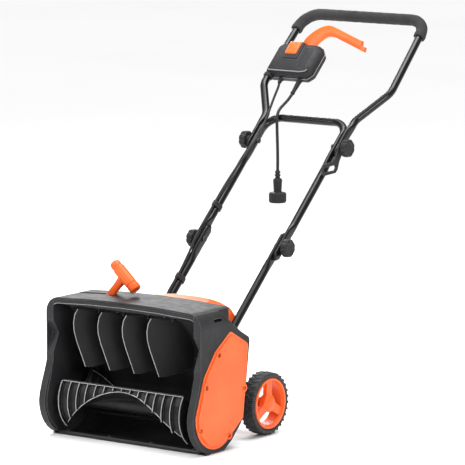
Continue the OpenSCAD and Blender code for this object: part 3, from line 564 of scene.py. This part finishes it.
def makeLowerTubes(bar, flat, tip):
    t = tubeSet
    fold = t["lowFold"]
    low = t["lowX"]
    for side, word in ((-1, "left"), (1, "right")):
        corners = [(low, fold - 0.296), (low, fold - 0.066), (0.109, fold - 0.040), (0.109, fold + 0.040)]
        path = densePath([Vector((side * x, y)) for x, y in corners], t["pointStep"])
        d = lengths(path)
        end = d[-1]
        values = [(0, bar), (end - 0.112, bar), (end - 0.082, flat), (end - 0.010, flat), (end, tip)]
        handleRun(path, blendSections(d, values), "lowerTube_" + word, "housing", blackCoat,
                  ["lower_tube_" + word])


def makeMiddleTube(bar, flat, tip):
    t = tubeSet
    fold = t["lowFold"]
    corners = mirroredLegs([(0.1183, fold - 0.036), (0.1183, fold + 0.030), (0.119, fold + 0.060),
                            (0.119, -0.070), (0.1172, -0.040), (0.1172, 0.030), (0.1185, t["bar"])])
    leg = [0.03, 0.03, 0.03, 0.03, 0.0, 0.042]
    path = densePath(bentPath(corners, leg + leg[::-1]), t["pointStep"])
    d = lengths(path)
    pinch = (0.0056, 0.0112, 2.8)
    values = [(0, tip), (0.010, flat), (0.078, flat), (0.104, bar), (0.268, bar), (0.296, pinch),
              (0.378, pinch), (0.402, bar)]
    sections = blendSections([min(x, d[-1] - x) for x in d], values)
    handleRun(path, sections, "middleTube", "middle_frame", blackCoat, ["middle_tube"])


def makeUpperTube(bar, flat, tip):
    t = tubeSet
    corners = mirroredLegs([(0.1278, -0.026), (0.1278, 0.040), (t["upX"], 0.066), (t["upX"], 0.084),
                            (t["flare"], 0.178), (t["gripX"], t["grip"])])
    leg = [0.03, 0.03, 0.040, 0.045, 0.048]
    path = densePath(bentPath(corners, leg + leg[::-1]), t["pointStep"])
    d = lengths(path)
    values = [(0, tip), (0.010, flat), (0.070, flat), (0.098, bar)]
    sections = blendSections([min(x, d[-1] - x) for x in d], values)
    handleRun(path, sections, "upperTube", "top_frame", blackCoat, ["upper_handle"])


def makeTubes():
    t = tubeSet
    bar = (t["radius"], t["radius"], 2.0)
    flat = (t["flatThick"], t["flatWide"], 3.6)
    tip = (t["flatThick"] * 0.9, t["flatWide"] * 0.45, 2.4)
    makeLowerTubes(bar, flat, tip)
    makeMiddleTube(bar, flat, tip)
    makeUpperTube(bar, flat, tip)


makeTubes()


# Foam grip

foamSet = {"radius": 0.0138, "start": 0.356, "legX": 0.1804, "bend": 0.048}


def makeFoam():
    f = foamSet
    corners = mirroredLegs([(f["legX"], 0.340), (tubeSet["gripX"], tubeSet["grip"])])
    path = densePath(bentPath(corners, [f["bend"], f["bend"]], 4.0), tubeSet["pointStep"])
    path = [p for p in path if p.y > f["start"]]
    normal = onHandle(0, 0, 1) - onHandle(0, 0, 0)
    rings = []
    last = len(path) - 1
    for i, p in enumerate(path):
        t = (path[min(i + 1, last)] - path[max(i - 1, 0)]).normalized()
        across = onHandle(-t.y, t.x) - onHandle(0, 0)
        edge = min(i, last - i)
        # a thicker rolled end
        r = f["radius"] + (0.0008 if edge < 3 else 0.0) - (0.0006 if edge == 0 else 0.0)
        r += 0.00025 * math.sin(i * 0.9) * math.sin(i * 0.23)
        rings.append(superRing(onHandle(p.x, p.y), across, normal, r, r * 1.02, 2.0, 36))
    # the ends turn in to the tube
    ends = []
    for i in (0, last):
        centre = onHandle(path[i].x, path[i].y)
        ends.append([centre + (q - centre) * 0.70 for q in rings[i]])
    rings = [ends[0]] + rings + [ends[1]]
    verts, faces = ringsToMesh(rings)
    foam = newPiece("foamSleeve", verts, faces, "top_frame", foamBlack, ["foam_grip"])


makeFoam()
print("handle ready")


# Strain reliefs at the switch box

reliefSet = {"motorX": -0.150, "leadX": -0.095, "s": 0.210, "z": -0.008, "ribs": 6, "ribStep": 0.0058}


def leadRelief():
    # a tapered sleeve with ribs and a ring at its end
    profile = [(0.0, 0.0054), (0.006, 0.0054), (0.0065, 0.0072), (0.0095, 0.0072), (0.010, 0.0064)]
    for k in range(reliefSet["ribs"]):
        at = 0.0115 + k * reliefSet["ribStep"]
        r = 0.0064 - k * 0.00030
        profile += [(at, r), (at + 0.0036, r - 0.0001)]
        profile += [(at + 0.0040, r - 0.0012), (at + 0.0050, r - 0.0012)]
    profile += [(0.0475, 0.0046), (0.0480, 0.0056), (0.0505, 0.0056), (0.0512, 0.0040)]
    return profile


def makeReliefs():
    g = reliefSet
    down = onHandle(0, -1) - onHandle(0, 0)
    short = [(0.0, 0.0050), (0.006, 0.0050), (0.0065, 0.0068), (0.0090, 0.0068), (0.0100, 0.0052),
             (0.0200, 0.0044), (0.0215, 0.0032)]
    parts = [lathe(short, onHandle(g["motorX"], g["s"], g["z"]), down, 28)]
    parts.append(lathe(leadRelief(), onHandle(g["leadX"], g["s"], g["z"]), down, 28))
    verts, faces = joinParts(parts)
    newPiece("strainReliefs", verts, faces, "top_frame", rubberBlack, ["cable_glands"])


makeReliefs()


# Motor cable along the left tubes

cableSet = {"radius": 0.003}
# where each half starts and stops bending, on the handle
cableLow = [(-0.080, -0.574, 0.0125), (-0.080, -0.556, 0.0125), (-0.084, -0.544, 0.014),
            (-0.098, -0.515, 0.017), (-0.107, -0.485, 0.016), (-0.108, -0.450, 0.015),
            (-0.108, -0.418, 0.015), (-0.111, -0.360, 0.017), (-0.114, -0.325, 0.020),
            (-0.117, -0.290, 0.018), (-0.1191, -0.230, 0.015), (-0.1191, -0.212, 0.015)]
cableHigh = [(-0.1191, -0.212, 0.015), (-0.1191, -0.195, 0.015), (-0.116, -0.150, 0.017),
             (-0.108, -0.095, 0.021), (-0.102, -0.040, 0.021), (-0.101, 0.020, 0.018),
             (-0.111, 0.070, 0.0145), (-0.129, 0.127, 0.004), (-0.144, 0.175, -0.006),
             (-0.150, 0.192, -0.008), (-0.150, 0.206, -0.008)]


def cablePiece(name, route, replaced):
    verts, faces = sweepRound(smoothRoute([onHandle(*p) for p in route], 8), cableSet["radius"], 14)
    return newPiece(name, verts, faces, None, rubberBlack, [replaced])


def makeMotorCable():
    # the cable in two halves, each with its placement baked into its mesh
    low = cablePiece("motorCableLow", cableLow, "motor_cable_lower")
    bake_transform(low)
    high = cablePiece("motorCableHigh", cableHigh, "motor_cable_upper")
    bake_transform(high)


makeMotorCable()


# Switch box

boxSet = {"left": -0.194, "right": -0.062, "low": 0.205, "top": 0.303, "back": -0.024, "split": -0.004}
buttonSet = {"x0": -0.1567, "x1": -0.1233, "s0": 0.2613, "s1": 0.2987}


def boxLine(left, right, low, top):
    # outline of the box with insets on its four sides
    b = boxSet
    x0 = b["left"] + left
    x1 = b["right"] - right
    s0 = b["low"] + low
    s1 = b["top"] - top
    corners = [(x0 + 0.006, s0), (x1 - 0.012, s0), (x1, s0 + 0.014), (x1, s1 - 0.018), (x1 - 0.014, s1),
               (x0 + 0.010, s1), (x0, s1 - 0.010), (x0, s0 + 0.006)]
    return rounded(corners, 0.004, 3)


def rectangle(x0, x1, s0, s1, r, steps=3):
    return rounded([(x0, s0), (x1, s0), (x1, s1), (x0, s1)], r, steps)


def makeBoxFront():
    split = boxSet["split"]
    lines = [boxLine(0.0008, 0.0008, 0.0008, 0.0008), boxLine(0, 0, 0, 0),
             boxLine(0.0005, 0.0005, 0.0005, 0.0005), boxLine(0.0015, 0.0030, 0.0020, 0.0020),
             boxLine(0.007, 0.011, 0.0085, 0.0060), boxLine(0.0085, 0.0125, 0.0100, 0.0075)]
    parts = [loft(lines, onHandle, [split + 0.0004, split + 0.002, 0.004, 0.009, 0.0153, 0.016])]
    # raised frame round the button
    foot = rectangle(-0.160, -0.114, 0.246, 0.302, 0.003)
    top = rectangle(-0.1585, -0.1165, 0.2500, 0.3005, 0.003)
    parts.append(loft([foot, top], onHandle, [0.014, 0.0205]))
    # low relief beside it
    foot = rectangle(-0.108, -0.078, 0.222, 0.290, 0.004)
    top = rectangle(-0.1065, -0.0795, 0.2235, 0.2885, 0.003)
    parts.append(loft([foot, top], onHandle, [0.0155, 0.0168]))
    verts, faces = joinParts(parts)
    front = newPiece("boxFront", verts, faces, "top_frame", charcoalPlastic, ["switch_box_front"],
                     sharp=40)
    bevelled(front, 0.0009)


def makeBoxBack():
    back = boxSet["back"]
    split = boxSet["split"]
    rim = boxLine(-0.0010, -0.0010, -0.0010, -0.0010)
    lines = [boxLine(0.009, 0.010, 0.009, 0.009), boxLine(0.0035, 0.004, 0.0035, 0.0035),
             boxLine(0, 0, 0, 0), rim, rim]
    heights = [back, back + 0.0025, back + 0.008, split - 0.004, split - 0.0004]
    parts = [loft(lines, onHandle, heights)]
    # collar where the tube enters
    down = onHandle(0, -1) - onHandle(0, 0)
    collar = [(0.0, 0.0125), (0.008, 0.0125), (0.0095, 0.0115), (0.0095, 0.0096), (0.0, 0.0096)]
    parts.append(lathe(collar, onHandle(-0.1845, 0.207, 0.0), down, 36, True))
    verts, faces = joinParts(parts)
    piece = newPiece("boxBack", verts, faces, "top_frame", charcoalPlastic, ["switch_box_back"],
                     sharp=40)
    bevelled(piece, 0.0008)


def makeButton():
    # a rocker whose face rises towards the grip
    b = buttonSet
    rings = []
    for h, inset in ((0.0150, 0.0), (0.0215, 0.0), (0.0232, 0.0012), (0.0238, 0.0030)):
        line = rectangle(b["x0"] + inset, b["x1"] - inset, b["s0"] + inset, b["s1"] - inset, 0.003, 4)
        rise = 0.0006 if h > 0.02 else 0.0
        rings.append([onHandle(p.x, p.y, h + rise * (p.y - b["s0"]) / (b["s1"] - b["s0"])) for p in line])
    verts, faces = ringsToMesh(rings)
    newPiece("buttonCap", verts, faces, "lock_button", orangePlastic, ["lock_button"],
             sharp=50)


makeBoxFront()
makeBoxBack()
makeButton()


# Bail lever

bailSet = {"s": 0.292, "z": 0.002, "tilt": 30.0, "sections": 44}
bailTop = [(-0.128, 0.004), (-0.128, 0.022), (-0.115, 0.038), (-0.092, 0.055), (-0.068, 0.064),
           (-0.049, 0.0625), (-0.018, 0.052), (0.012, 0.0415), (0.040, 0.032)]
bailLow = [(-0.098, 0.002), (-0.087, 0.012), (-0.069, 0.031), (-0.055, 0.037), (-0.036, 0.035),
           (-0.012, 0.0268), (0.011, 0.019), (0.028, 0.0128), (0.041, 0.0085)]


def onBail(x, e, h=0.0):
    # e runs along the lever's own plane and h stands on it
    a = math.radians(bailSet["tilt"])
    s = bailSet["s"] + e * math.cos(a) - h * math.sin(a)
    z = bailSet["z"] + e * math.sin(a) + h * math.cos(a)
    return onHandle(x, s, z)


def evenSmooth(points, count):
    # the same number of evenly spaced points along a smooth line
    pts = smoothRoute([(p[0], p[1], 0.0) for p in points], 12)
    d = lengths(pts)
    out = []
    for k in range(count):
        want = d[-1] * k / (count - 1)
        for i in range(len(d) - 1):
            if want <= d[i + 1] or i == len(d) - 2:
                t = (want - d[i]) / max(d[i + 1] - d[i], 1e-9)
                out.append(pts[i] + (pts[i + 1] - pts[i]) * t)
                break
    return out


def bailSection(a, b, t):
    # a channel: crowned outside, turned down along both edges
    depth = 0.0030 + 0.0075 * min(1.0, max(0.0, (t - 0.16) / 0.18))
    across = 9
    ring = []
    for k in range(across):
        w = k / (across - 1)
        p = a + (b - a) * w
        crown = 0.0026 * (1 - (2 * w - 1) ** 2)
        ring.append(onBail(p.x, p.y, 0.0002 + crown))
    inset = 0.0012 / max((b - a).length, 1e-6)
    for k in range(across):
        w = inset + (1 - k / (across - 1)) * (1 - 2 * inset)
        p = a + (b - a) * w
        edge = 1.0 if k in (0, across - 1) else abs(2 * w - 1) ** 6
        ring.append(onBail(p.x, p.y, -0.0026 - (depth - 0.0026) * edge))
    return ring


def makeBail():
    count = bailSet["sections"]
    top = evenSmooth(bailTop, count)
    low = evenSmooth(bailLow, count)
    parts = [ringsToMesh([bailSection(a, b, i / (count - 1)) for i, (a, b) in enumerate(zip(top, low))])]
    # notched tip
    tip = rounded([(0.036, 0.0335), (0.041, 0.0315), (0.0415, 0.0200), (0.0525, 0.0165), (0.0520, 0.0045),
                   (0.0410, 0.0080), (0.036, 0.0105)], 0.0015, 3)
    parts.append(prism(tip, onBail, -0.0095, 0.0006))
    # hub on its pin
    hub = [(0.0, 0.0026), (0.0, 0.0054), (0.0006, 0.0060), (0.0274, 0.0060), (0.028, 0.0054),
           (0.028, 0.0026)]
    parts.append(lathe(hub, onBail(-0.126, 0.0), (1, 0, 0), 32, True))
    verts, faces = joinParts(parts)
    bail = newPiece("bailArm", verts, faces, "bail_lever", orangePlastic, ["bail_lever"],
                    sharp=45)
    bevelled(bail, 0.0008, 2, 50)


makeBail()


# Knobs of the fold joints

knobSet = {"lobes": 8, "waist": 0.13, "lowStart": 0.1231, "leftStart": 0.1326, "rightStart": 0.1359}


def makeKnob(name, side, s, start, body):
    n = 96
    rings = []
    # distance from the tube, radius and strength of the lobes
    profile = [(0.0, 0.0095, 0.0), (0.0045, 0.0100, 0.0), (0.0050, 0.0170, 0.4), (0.0060, 0.0205, 1.0),
               (0.0080, 0.0217, 1.0), (0.0165, 0.0220, 1.0), (0.0195, 0.0212, 1.0), (0.0212, 0.0195, 0.8),
               (0.0220, 0.0165, 0.3), (0.0214, 0.0120, 0.0), (0.0205, 0.0110, 0.0), (0.0207, 0.0, 0.0)]
    for along, r, lobe in profile:
        ring = []
        for k in range(n):
            a = 2 * math.pi * k / n
            wave = abs(math.sin(a * knobSet["lobes"] / 2)) ** 0.6
            rr = r * (1 - knobSet["waist"] * lobe * (1 - wave)) + 1e-5
            ring.append(onHandle(side * (start + along), s + rr * math.cos(a), rr * math.sin(a)))
        rings.append(ring)
    verts, faces = ringsToMesh(rings)
    newPiece(name, verts, faces, body, charcoalPlastic, [body], sharp=38)


def makeKnobPair(side, word):
    makeKnob("knobLow_" + word, side, tubeSet["lowFold"], knobSet["lowStart"], "knob_lower_" + word)
    makeKnob("knobTop_" + word, side, 0.0, knobSet[word + "Start"], "knob_upper_" + word)


makeKnobPair(-1, "left")
makeKnobPair(1, "right")
print("controls ready")


# Tyres with tread

tyreSet = {"radius": 0.073, "width": 0.038, "inner": 0.165, "rim": 0.059, "lugs": 30, "depth": 0.0022}


lugFaces = [(0, 1, 5, 4), (1, 2, 6, 5), (2, 3, 7, 6), (3, 0, 4, 7), (4, 5, 6, 7), (3, 2, 1, 0)]


def onTyre(side, across, angle, radius):
    return Vector((side * (tyreSet["inner"] + across), bodySet["axleY"] + radius * math.cos(angle),
                   bodySet["axleZ"] + radius * math.sin(angle)))


def tyreLug(side, angle, near, far):
    # a slanted block from one shoulder past the middle of the tread
    t = tyreSet
    step = 2 * math.pi / t["lugs"]
    r = t["radius"] - t["depth"]
    low = []
    high = []
    for across, turn in ((near, -0.20), (near, 0.20), (far, 0.16), (far, -0.16)):
        shift = step * 0.34 * abs(across - near) / t["width"]
        edge = 0.0045 if across == near else 0.0
        low.append(onTyre(side, across, angle + turn * step + shift, r - 0.0012 - edge))
        high.append(onTyre(side, across, angle + turn * step * 0.86 + shift, t["radius"] - edge * 0.35))
    return low + high, lugFaces


def makeTyre(side, word):
    t = tyreSet
    r = t["radius"] - t["depth"]
    w = t["width"]
    rim = t["rim"]
    profile = [(0.005, rim - 0.0036), (0.001, rim), (0.0, r - 0.006), (0.0025, r - 0.0015), (0.006, r),
               (w - 0.006, r), (w - 0.0025, r - 0.0015), (w, r - 0.006), (w - 0.0006, rim + 0.0045),
               (w - 0.0018, rim + 0.004), (w - 0.0025, rim + 0.0003), (w - 0.006, rim - 0.0026)]
    start = Vector((side * t["inner"], bodySet["axleY"], bodySet["axleZ"]))
    parts = [lathe(profile, start, (side, 0, 0), 96, True)]
    step = 2 * math.pi / t["lugs"]
    for k in range(t["lugs"]):
        parts.append(tyreLug(side, k * step, 0.0012, w * 0.56))
        parts.append(tyreLug(side, (k + 0.5) * step, w - 0.0012, w * 0.44))
    verts, faces = joinParts(parts)
    newPiece("tyreTread_" + word, verts, faces, "wheel_" + word, tyreRubber, ["tyre_" + word],
             sharp=35)


makeTyre(-1, "left")
makeTyre(1, "right")


# Chute lever with its T grip

leverSet = {"place": (-0.1372, 0.058, 0.284), "tilt": 42.0, "length": 0.1176, "grip": 0.0135,
            "flutes": 14, "fluteRadius": 0.0132}


def onLever(across, deep, along):
    a = math.radians(leverSet["tilt"])
    x, y, z = leverSet["place"]
    return Vector((x + across * math.cos(a) + along * math.sin(a), y + deep,
                   z - across * math.sin(a) + along * math.cos(a)))


def makeLever():
    size = leverSet["length"]
    g = leverSet["grip"]
    axis = onLever(1, 0, 0) - onLever(0, 0, 0)
    stem = [(-0.006, 0.004, 0.0034), (-0.002, 0.0062, 0.0040), (0.012, 0.0075, 0.0040),
            (0.026, 0.0100, 0.0040), (0.060, 0.0095, 0.0046), (0.084, 0.0092, 0.0062),
            (size - 0.016, 0.0105, 0.0082), (size - 0.009, 0.0150, 0.0100), (size, 0.0160, 0.0100)]
    rings = []
    for along, wide, deep in stem:
        rings.append(superRing(onLever(0, 0, along), axis, Vector((0, 1, 0)), wide, deep, 3.0, 32))
    parts = [ringsToMesh(rings)]
    profile = [(-0.0430, 0.0060), (-0.0428, 0.0096), (-0.0405, 0.0118), (-0.0385, 0.0124),
               (-0.0300, 0.0126), (-0.0290, 0.0112), (-0.0270, 0.0112), (-0.0260, 0.0132),
               (-0.0120, g), (0.0120, g),
               (0.0245, 0.0134), (0.0255, 0.0114), (0.0275, 0.0114), (0.0285, 0.0140), (0.0400, 0.0140),
               (0.0425, 0.0128), (0.0430, 0.0100), (0.0415, 0.0092), (0.0415, 0.0040)]
    parts.append(lathe(profile, onLever(0, 0, size), axis, 48))
    verts, faces = joinParts(parts)
    newPiece("leverGrip", verts, faces, "chute_lever", orangePlastic, ["chute_lever"],
             sharp=40)


def makeFlutes():
    # raised flutes along the grip
    f = leverSet["fluteRadius"]
    parts = []
    for k in range(leverSet["flutes"]):
        a = 2 * math.pi * k / leverSet["flutes"]
        up = leverSet["length"] + f * math.sin(a)
        line = [onLever(u, f * math.cos(a), up) for u in (-0.0235, -0.010, 0.010, 0.0235)]
        parts.append(sweepRound(line, 0.0009, 6))
    verts, faces = joinParts(parts)
    newPiece("leverFlutes", verts, faces, "chute_lever", orangePlastic)


makeLever()
makeFlutes()


# Side covers: rings round the screws and a bead along the raised panel's border

coverSet = {"face": 0.2240, "bead": 0.0011}
coverScrews = [(0.036, 0.222), (-0.012, 0.155), (-0.034, 0.060), (0.131, 0.133), (0.074, 0.034)]


def arcPoints(cy, cz, r, low, high, count):
    out = []
    for k in range(count + 1):
        a = math.radians(low + (high - low) * k / count)
        out.append((cy + r * math.cos(a), cz + r * math.sin(a)))
    return out


def coverLine(d):
    # outline of the cover, drawn in by d
    line = [(0.024 + d, 0.230 - d * 0.3), (-0.016 + d, 0.180), (-0.038 + d, 0.122)]
    line += arcPoints(0.027, 0.086, 0.076 - d, 176, 306, 22)
    line += [(0.130 - d, 0.066 + d * 0.5), (0.140 - d, 0.146), (0.149 - d, 0.229 - d * 0.4),
             (0.145 - d * 0.9, 0.235 - d * 0.7), (0.086, 0.268 - d * 1.15), (0.080, 0.268 - d * 1.15)]
    return line


def makeCoverTrim(side, word):
    face = coverSet["face"]
    ring = [(-0.0004, 0.0066), (0.0012, 0.0066), (0.0016, 0.0072), (0.0016, 0.0086), (0.0010, 0.0094),
            (-0.0004, 0.0100)]
    parts = [lathe(ring, (side * face, y, z), (side, 0, 0), 36, True) for y, z in coverScrews]
    line = rounded(coverLine(0.0085), 0.004, 2)
    bead = [Vector((side * (face - 0.0002), p[0], p[1])) for p in line + line[:1]]
    parts.append(sweepRound(bead, coverSet["bead"], 8))
    verts, faces = joinParts(parts)
    newPiece("coverTrim_" + word, verts, faces, "housing", orangePlastic, sharp=50)


makeCoverTrim(-1, "left")
makeCoverTrim(1, "right")


# Painted highlights: light lines along the two edges of the hood's front rim

hoodSet = {"corner": 0.035, "top": 0.322, "crown": 0.006, "reach": 0.2, "lowest": 0.29}
# inset, radius and depth of each line
hoodLines = [(0.0132, 0.0007, -0.0273), (0.0016, 0.0008, -0.0260)]


def hoodEdge(inset):
    # the rim's outline from one shoulder to the other, drawn in by the inset
    h = hoodSet
    x = bodySet["half"] - h["corner"]
    right = [(bodySet["half"] - inset, 0.0)]
    right += arcPoints(x, h["top"] - h["corner"], h["corner"] - inset, 0, 90, 10)
    right += [(x - 0.090, h["top"] + h["crown"] * 0.75 - inset), (0.0, h["top"] + h["crown"] - inset)]
    line = right + [(-p[0], p[1]) for p in reversed(right[:-1])]
    return [p for p in line if abs(p[0]) <= h["reach"] and p[1] > h["lowest"]]


def makeHoodTrim():
    parts = []
    for inset, radius, y in hoodLines:
        parts.append(sweepRound([Vector((p[0], y, p[1])) for p in hoodEdge(inset)], radius, 8))
    verts, faces = joinParts(parts)
    newPiece("hoodBead", verts, faces, "housing", wornEdge)


makeHoodTrim()


# Ledge at the foot of the deflector

ledgeSet = {"half": 0.199}
ledgeSection = [(0.0885, 0.1905), (0.0925, 0.1905), (0.0925, 0.1965), (0.0850, 0.1965), (0.0850, 0.1945)]


def makeLedge():
    half = ledgeSet["half"]
    verts, faces = prism(ledgeSection, acrossBody, -half, half)
    newPiece("deflectorLedge", verts, faces, "housing", charcoalPlastic)


makeLedge()
print("housing and wheels ready")


# Painted highlights along the vanes' front edges

vaneSet = {"places": (-0.105, -0.035, 0.035, 0.105), "turn": 35.0, "y": 0.023, "edge": 0.0010}
vaneFront = [(-0.052, 0.298), (-0.059, 0.286), (-0.062, 0.268), (-0.061, 0.250), (-0.055, 0.226),
             (-0.034, 0.164)]


def makeVaneEdges():
    a = math.radians(vaneSet["turn"])
    for i, x in enumerate(vaneSet["places"]):
        pts = [Vector((x + d * math.sin(a), vaneSet["y"] + d * math.cos(a), z)) for d, z in vaneFront]
        verts, faces = sweepRound(pts, vaneSet["edge"], 8)
        word = str(i + 1)
        newPiece("vaneEdge_" + word, verts, faces, "vane_" + word, wornEdge)


# Painted highlights along the edges of the rotor's bar, paddle and fins

rotorSet = {"half": 0.170, "radius": 0.078, "gaps": 14, "edge": 0.0008, "barAngle": 143.0, "archLow": 148.0,
            "archRise": 81.0}


def onRotor(x, angle, radius, turn):
    a = math.radians(angle + turn)
    return Vector((x, bodySet["rotorY"] + radius * math.cos(a), bodySet["rotorZ"] + radius * math.sin(a)))


def archAngle(x):
    return rotorSet["archLow"] + rotorSet["archRise"] * (abs(x) / rotorSet["half"]) ** 1.9


def finEdge(x, high, count, lift, turn):
    # one fin, from the bar to the given angle
    low = rotorSet["barAngle"]
    radius = rotorSet["radius"] + lift
    line = [onRotor(x, low + (high - low) * k / count, radius, turn) for k in range(count + 1)]
    return sweepRound(line, rotorSet["edge"], 6)


def makeRotorEdges():
    half = rotorSet["half"]
    r = rotorSet["radius"]
    bar = rotorSet["barAngle"]
    gaps = rotorSet["gaps"]
    parts = []
    for turn in (0.0, 180.0):
        ends = [onRotor(x, bar, r - 0.0012, turn) for x in (-half, half)]
        parts.append(sweepRound(ends, rotorSet["edge"], 6))
        places = [-half + 2 * half * k / 48 for k in range(49)]
        arch = [onRotor(x, archAngle(x), r - 0.0072, turn) for x in places]
        parts.append(sweepRound(arch, rotorSet["edge"] * 1.2, 6))
        for i in range(1, gaps):
            x = -half + 2 * half * i / gaps
            high = archAngle(x)
            parts.append(finEdge(x, high, max(2, int((high - bar) / 5)), 0.0001, turn))
        for side in (-1, 1):
            parts.append(finEdge(side * (half + 0.002), bar + 90.0, 18, 0.0, turn))
    verts, faces = joinParts(parts)
    newPiece("rotorEdges", verts, faces, "rotor_assembly", wornEdge)


makeVaneEdges()
makeRotorEdges()


# Light ridges on the switch box: painted highlights along the front's lower edge and the seam

ridgeSet = {"front": 0.0016, "seam": 0.0010, "seamZ": -0.0044}
ridgeLine = [(-0.1865, 0.2135, 0.0150), (-0.1800, 0.2105, 0.0156), (-0.0900, 0.2105, 0.0156),
             (-0.0760, 0.2140, 0.0150), (-0.0725, 0.2200, 0.0150)]


def makeBoxRidges():
    parts = [sweepRound([onHandle(*p) for p in ridgeLine], ridgeSet["front"], 8)]
    line = boxLine(-0.0012, -0.0012, -0.0012, -0.0012)
    seam = [onHandle(p.x, p.y, ridgeSet["seamZ"]) for p in line + line[:1]]
    parts.append(sweepRound(seam, ridgeSet["seam"], 6))
    verts, faces = joinParts(parts)
    newPiece("boxRidges", verts, faces, "top_frame", charcoalLight)


makeBoxRidges()


# Raised bosses round the side covers' screws

bossSet = {"bore": 0.0062, "rim": 0.0088, "height": 0.0052}


def makeBosses(side, word):
    top = bossSet["height"]
    bore = bossSet["bore"]
    rim = bossSet["rim"]
    profile = [(0.0008, bore), (top - 0.0004, bore), (top, bore + 0.0005), (top, rim - 0.0010),
               (top - 0.0006, rim), (0.0008, rim + 0.0006)]
    x = side * bodySet["half"]
    parts = [lathe(profile, (x, y, z), (side, 0, 0), 36, True) for y, z in coverScrews]
    verts, faces = joinParts(parts)
    newPiece("coverBosses_" + word, verts, faces, "housing", orangePlastic, sharp=35)


makeBosses(-1, "left")
makeBosses(1, "right")
print("edges ready")


# Studio: white floor and soft lights

skySet = {"sun": 2.2, "sunAngle": 70.0, "world": 0.36, "floorHalf": 14.0, "aim": (0.0, 0.3, 0.4)}
lampSet = {
    "key": {"place": (-1.6, -2.6, 2.6), "size": 1.4, "power": 75.0},
    "side": {"place": (2.8, -1.6, 1.5), "size": 1.2, "power": 42.0},
    "top": {"place": (0.2, 0.6, 3.2), "size": 1.6, "power": 60.0},
    "back": {"place": (-2.0, 2.4, 2.0), "size": 1.4, "power": 50.0},
}


def makeFloor():
    mesh = bpy.data.meshes.new("floor")
    half = skySet["floorHalf"]
    z = -0.0005
    corners = [(-half, -half, z), (half, -half, z), (half, half, z), (-half, half, z)]
    mesh.from_pydata(corners, [], [(0, 1, 2, 3)])
    floor = bpy.data.objects.new("floor", mesh)
    scene.collection.objects.link(floor)
    m = Mat("floorWhite")
    tone = m.noise(0.8, 2.0)
    colour = m.ramp(tone, "Fac", (0.94, 0.94, 0.94), (0.96, 0.96, 0.96))
    m.link(colour, "Color", m.shader, "Base Color")
    m.shader.inputs["Roughness"].default_value = 0.6
    mesh.materials.append(m.mat)


def makeLights():
    aim = Vector(skySet["aim"])
    for name, one in lampSet.items():
        data = bpy.data.lights.new(name, "AREA")
        data.shape = "SQUARE"
        data.size = one["size"]
        data.energy = one["power"]
        lamp = bpy.data.objects.new(name, data)
        lamp.location = one["place"]
        lamp.rotation_euler = (aim - lamp.location).to_track_quat("-Z", "Y").to_euler()
        scene.collection.objects.link(lamp)
    data = bpy.data.lights.new("sky", "SUN")
    data.energy = skySet["sun"]
    data.angle = math.radians(skySet["sunAngle"])
    sun = bpy.data.objects.new("sky", data)
    scene.collection.objects.link(sun)


def makeWorld():
    world = bpy.data.worlds.new("studio")
    world.use_nodes = True
    sky = world.node_tree.nodes["Background"]
    sky.inputs["Color"].default_value = (1.0, 1.0, 1.0, 1.0)
    sky.inputs["Strength"].default_value = skySet["world"]
    scene.world = world
    scene.view_settings.view_transform = "Standard"


makeFloor()
makeLights()
makeWorld()
print("studio ready")
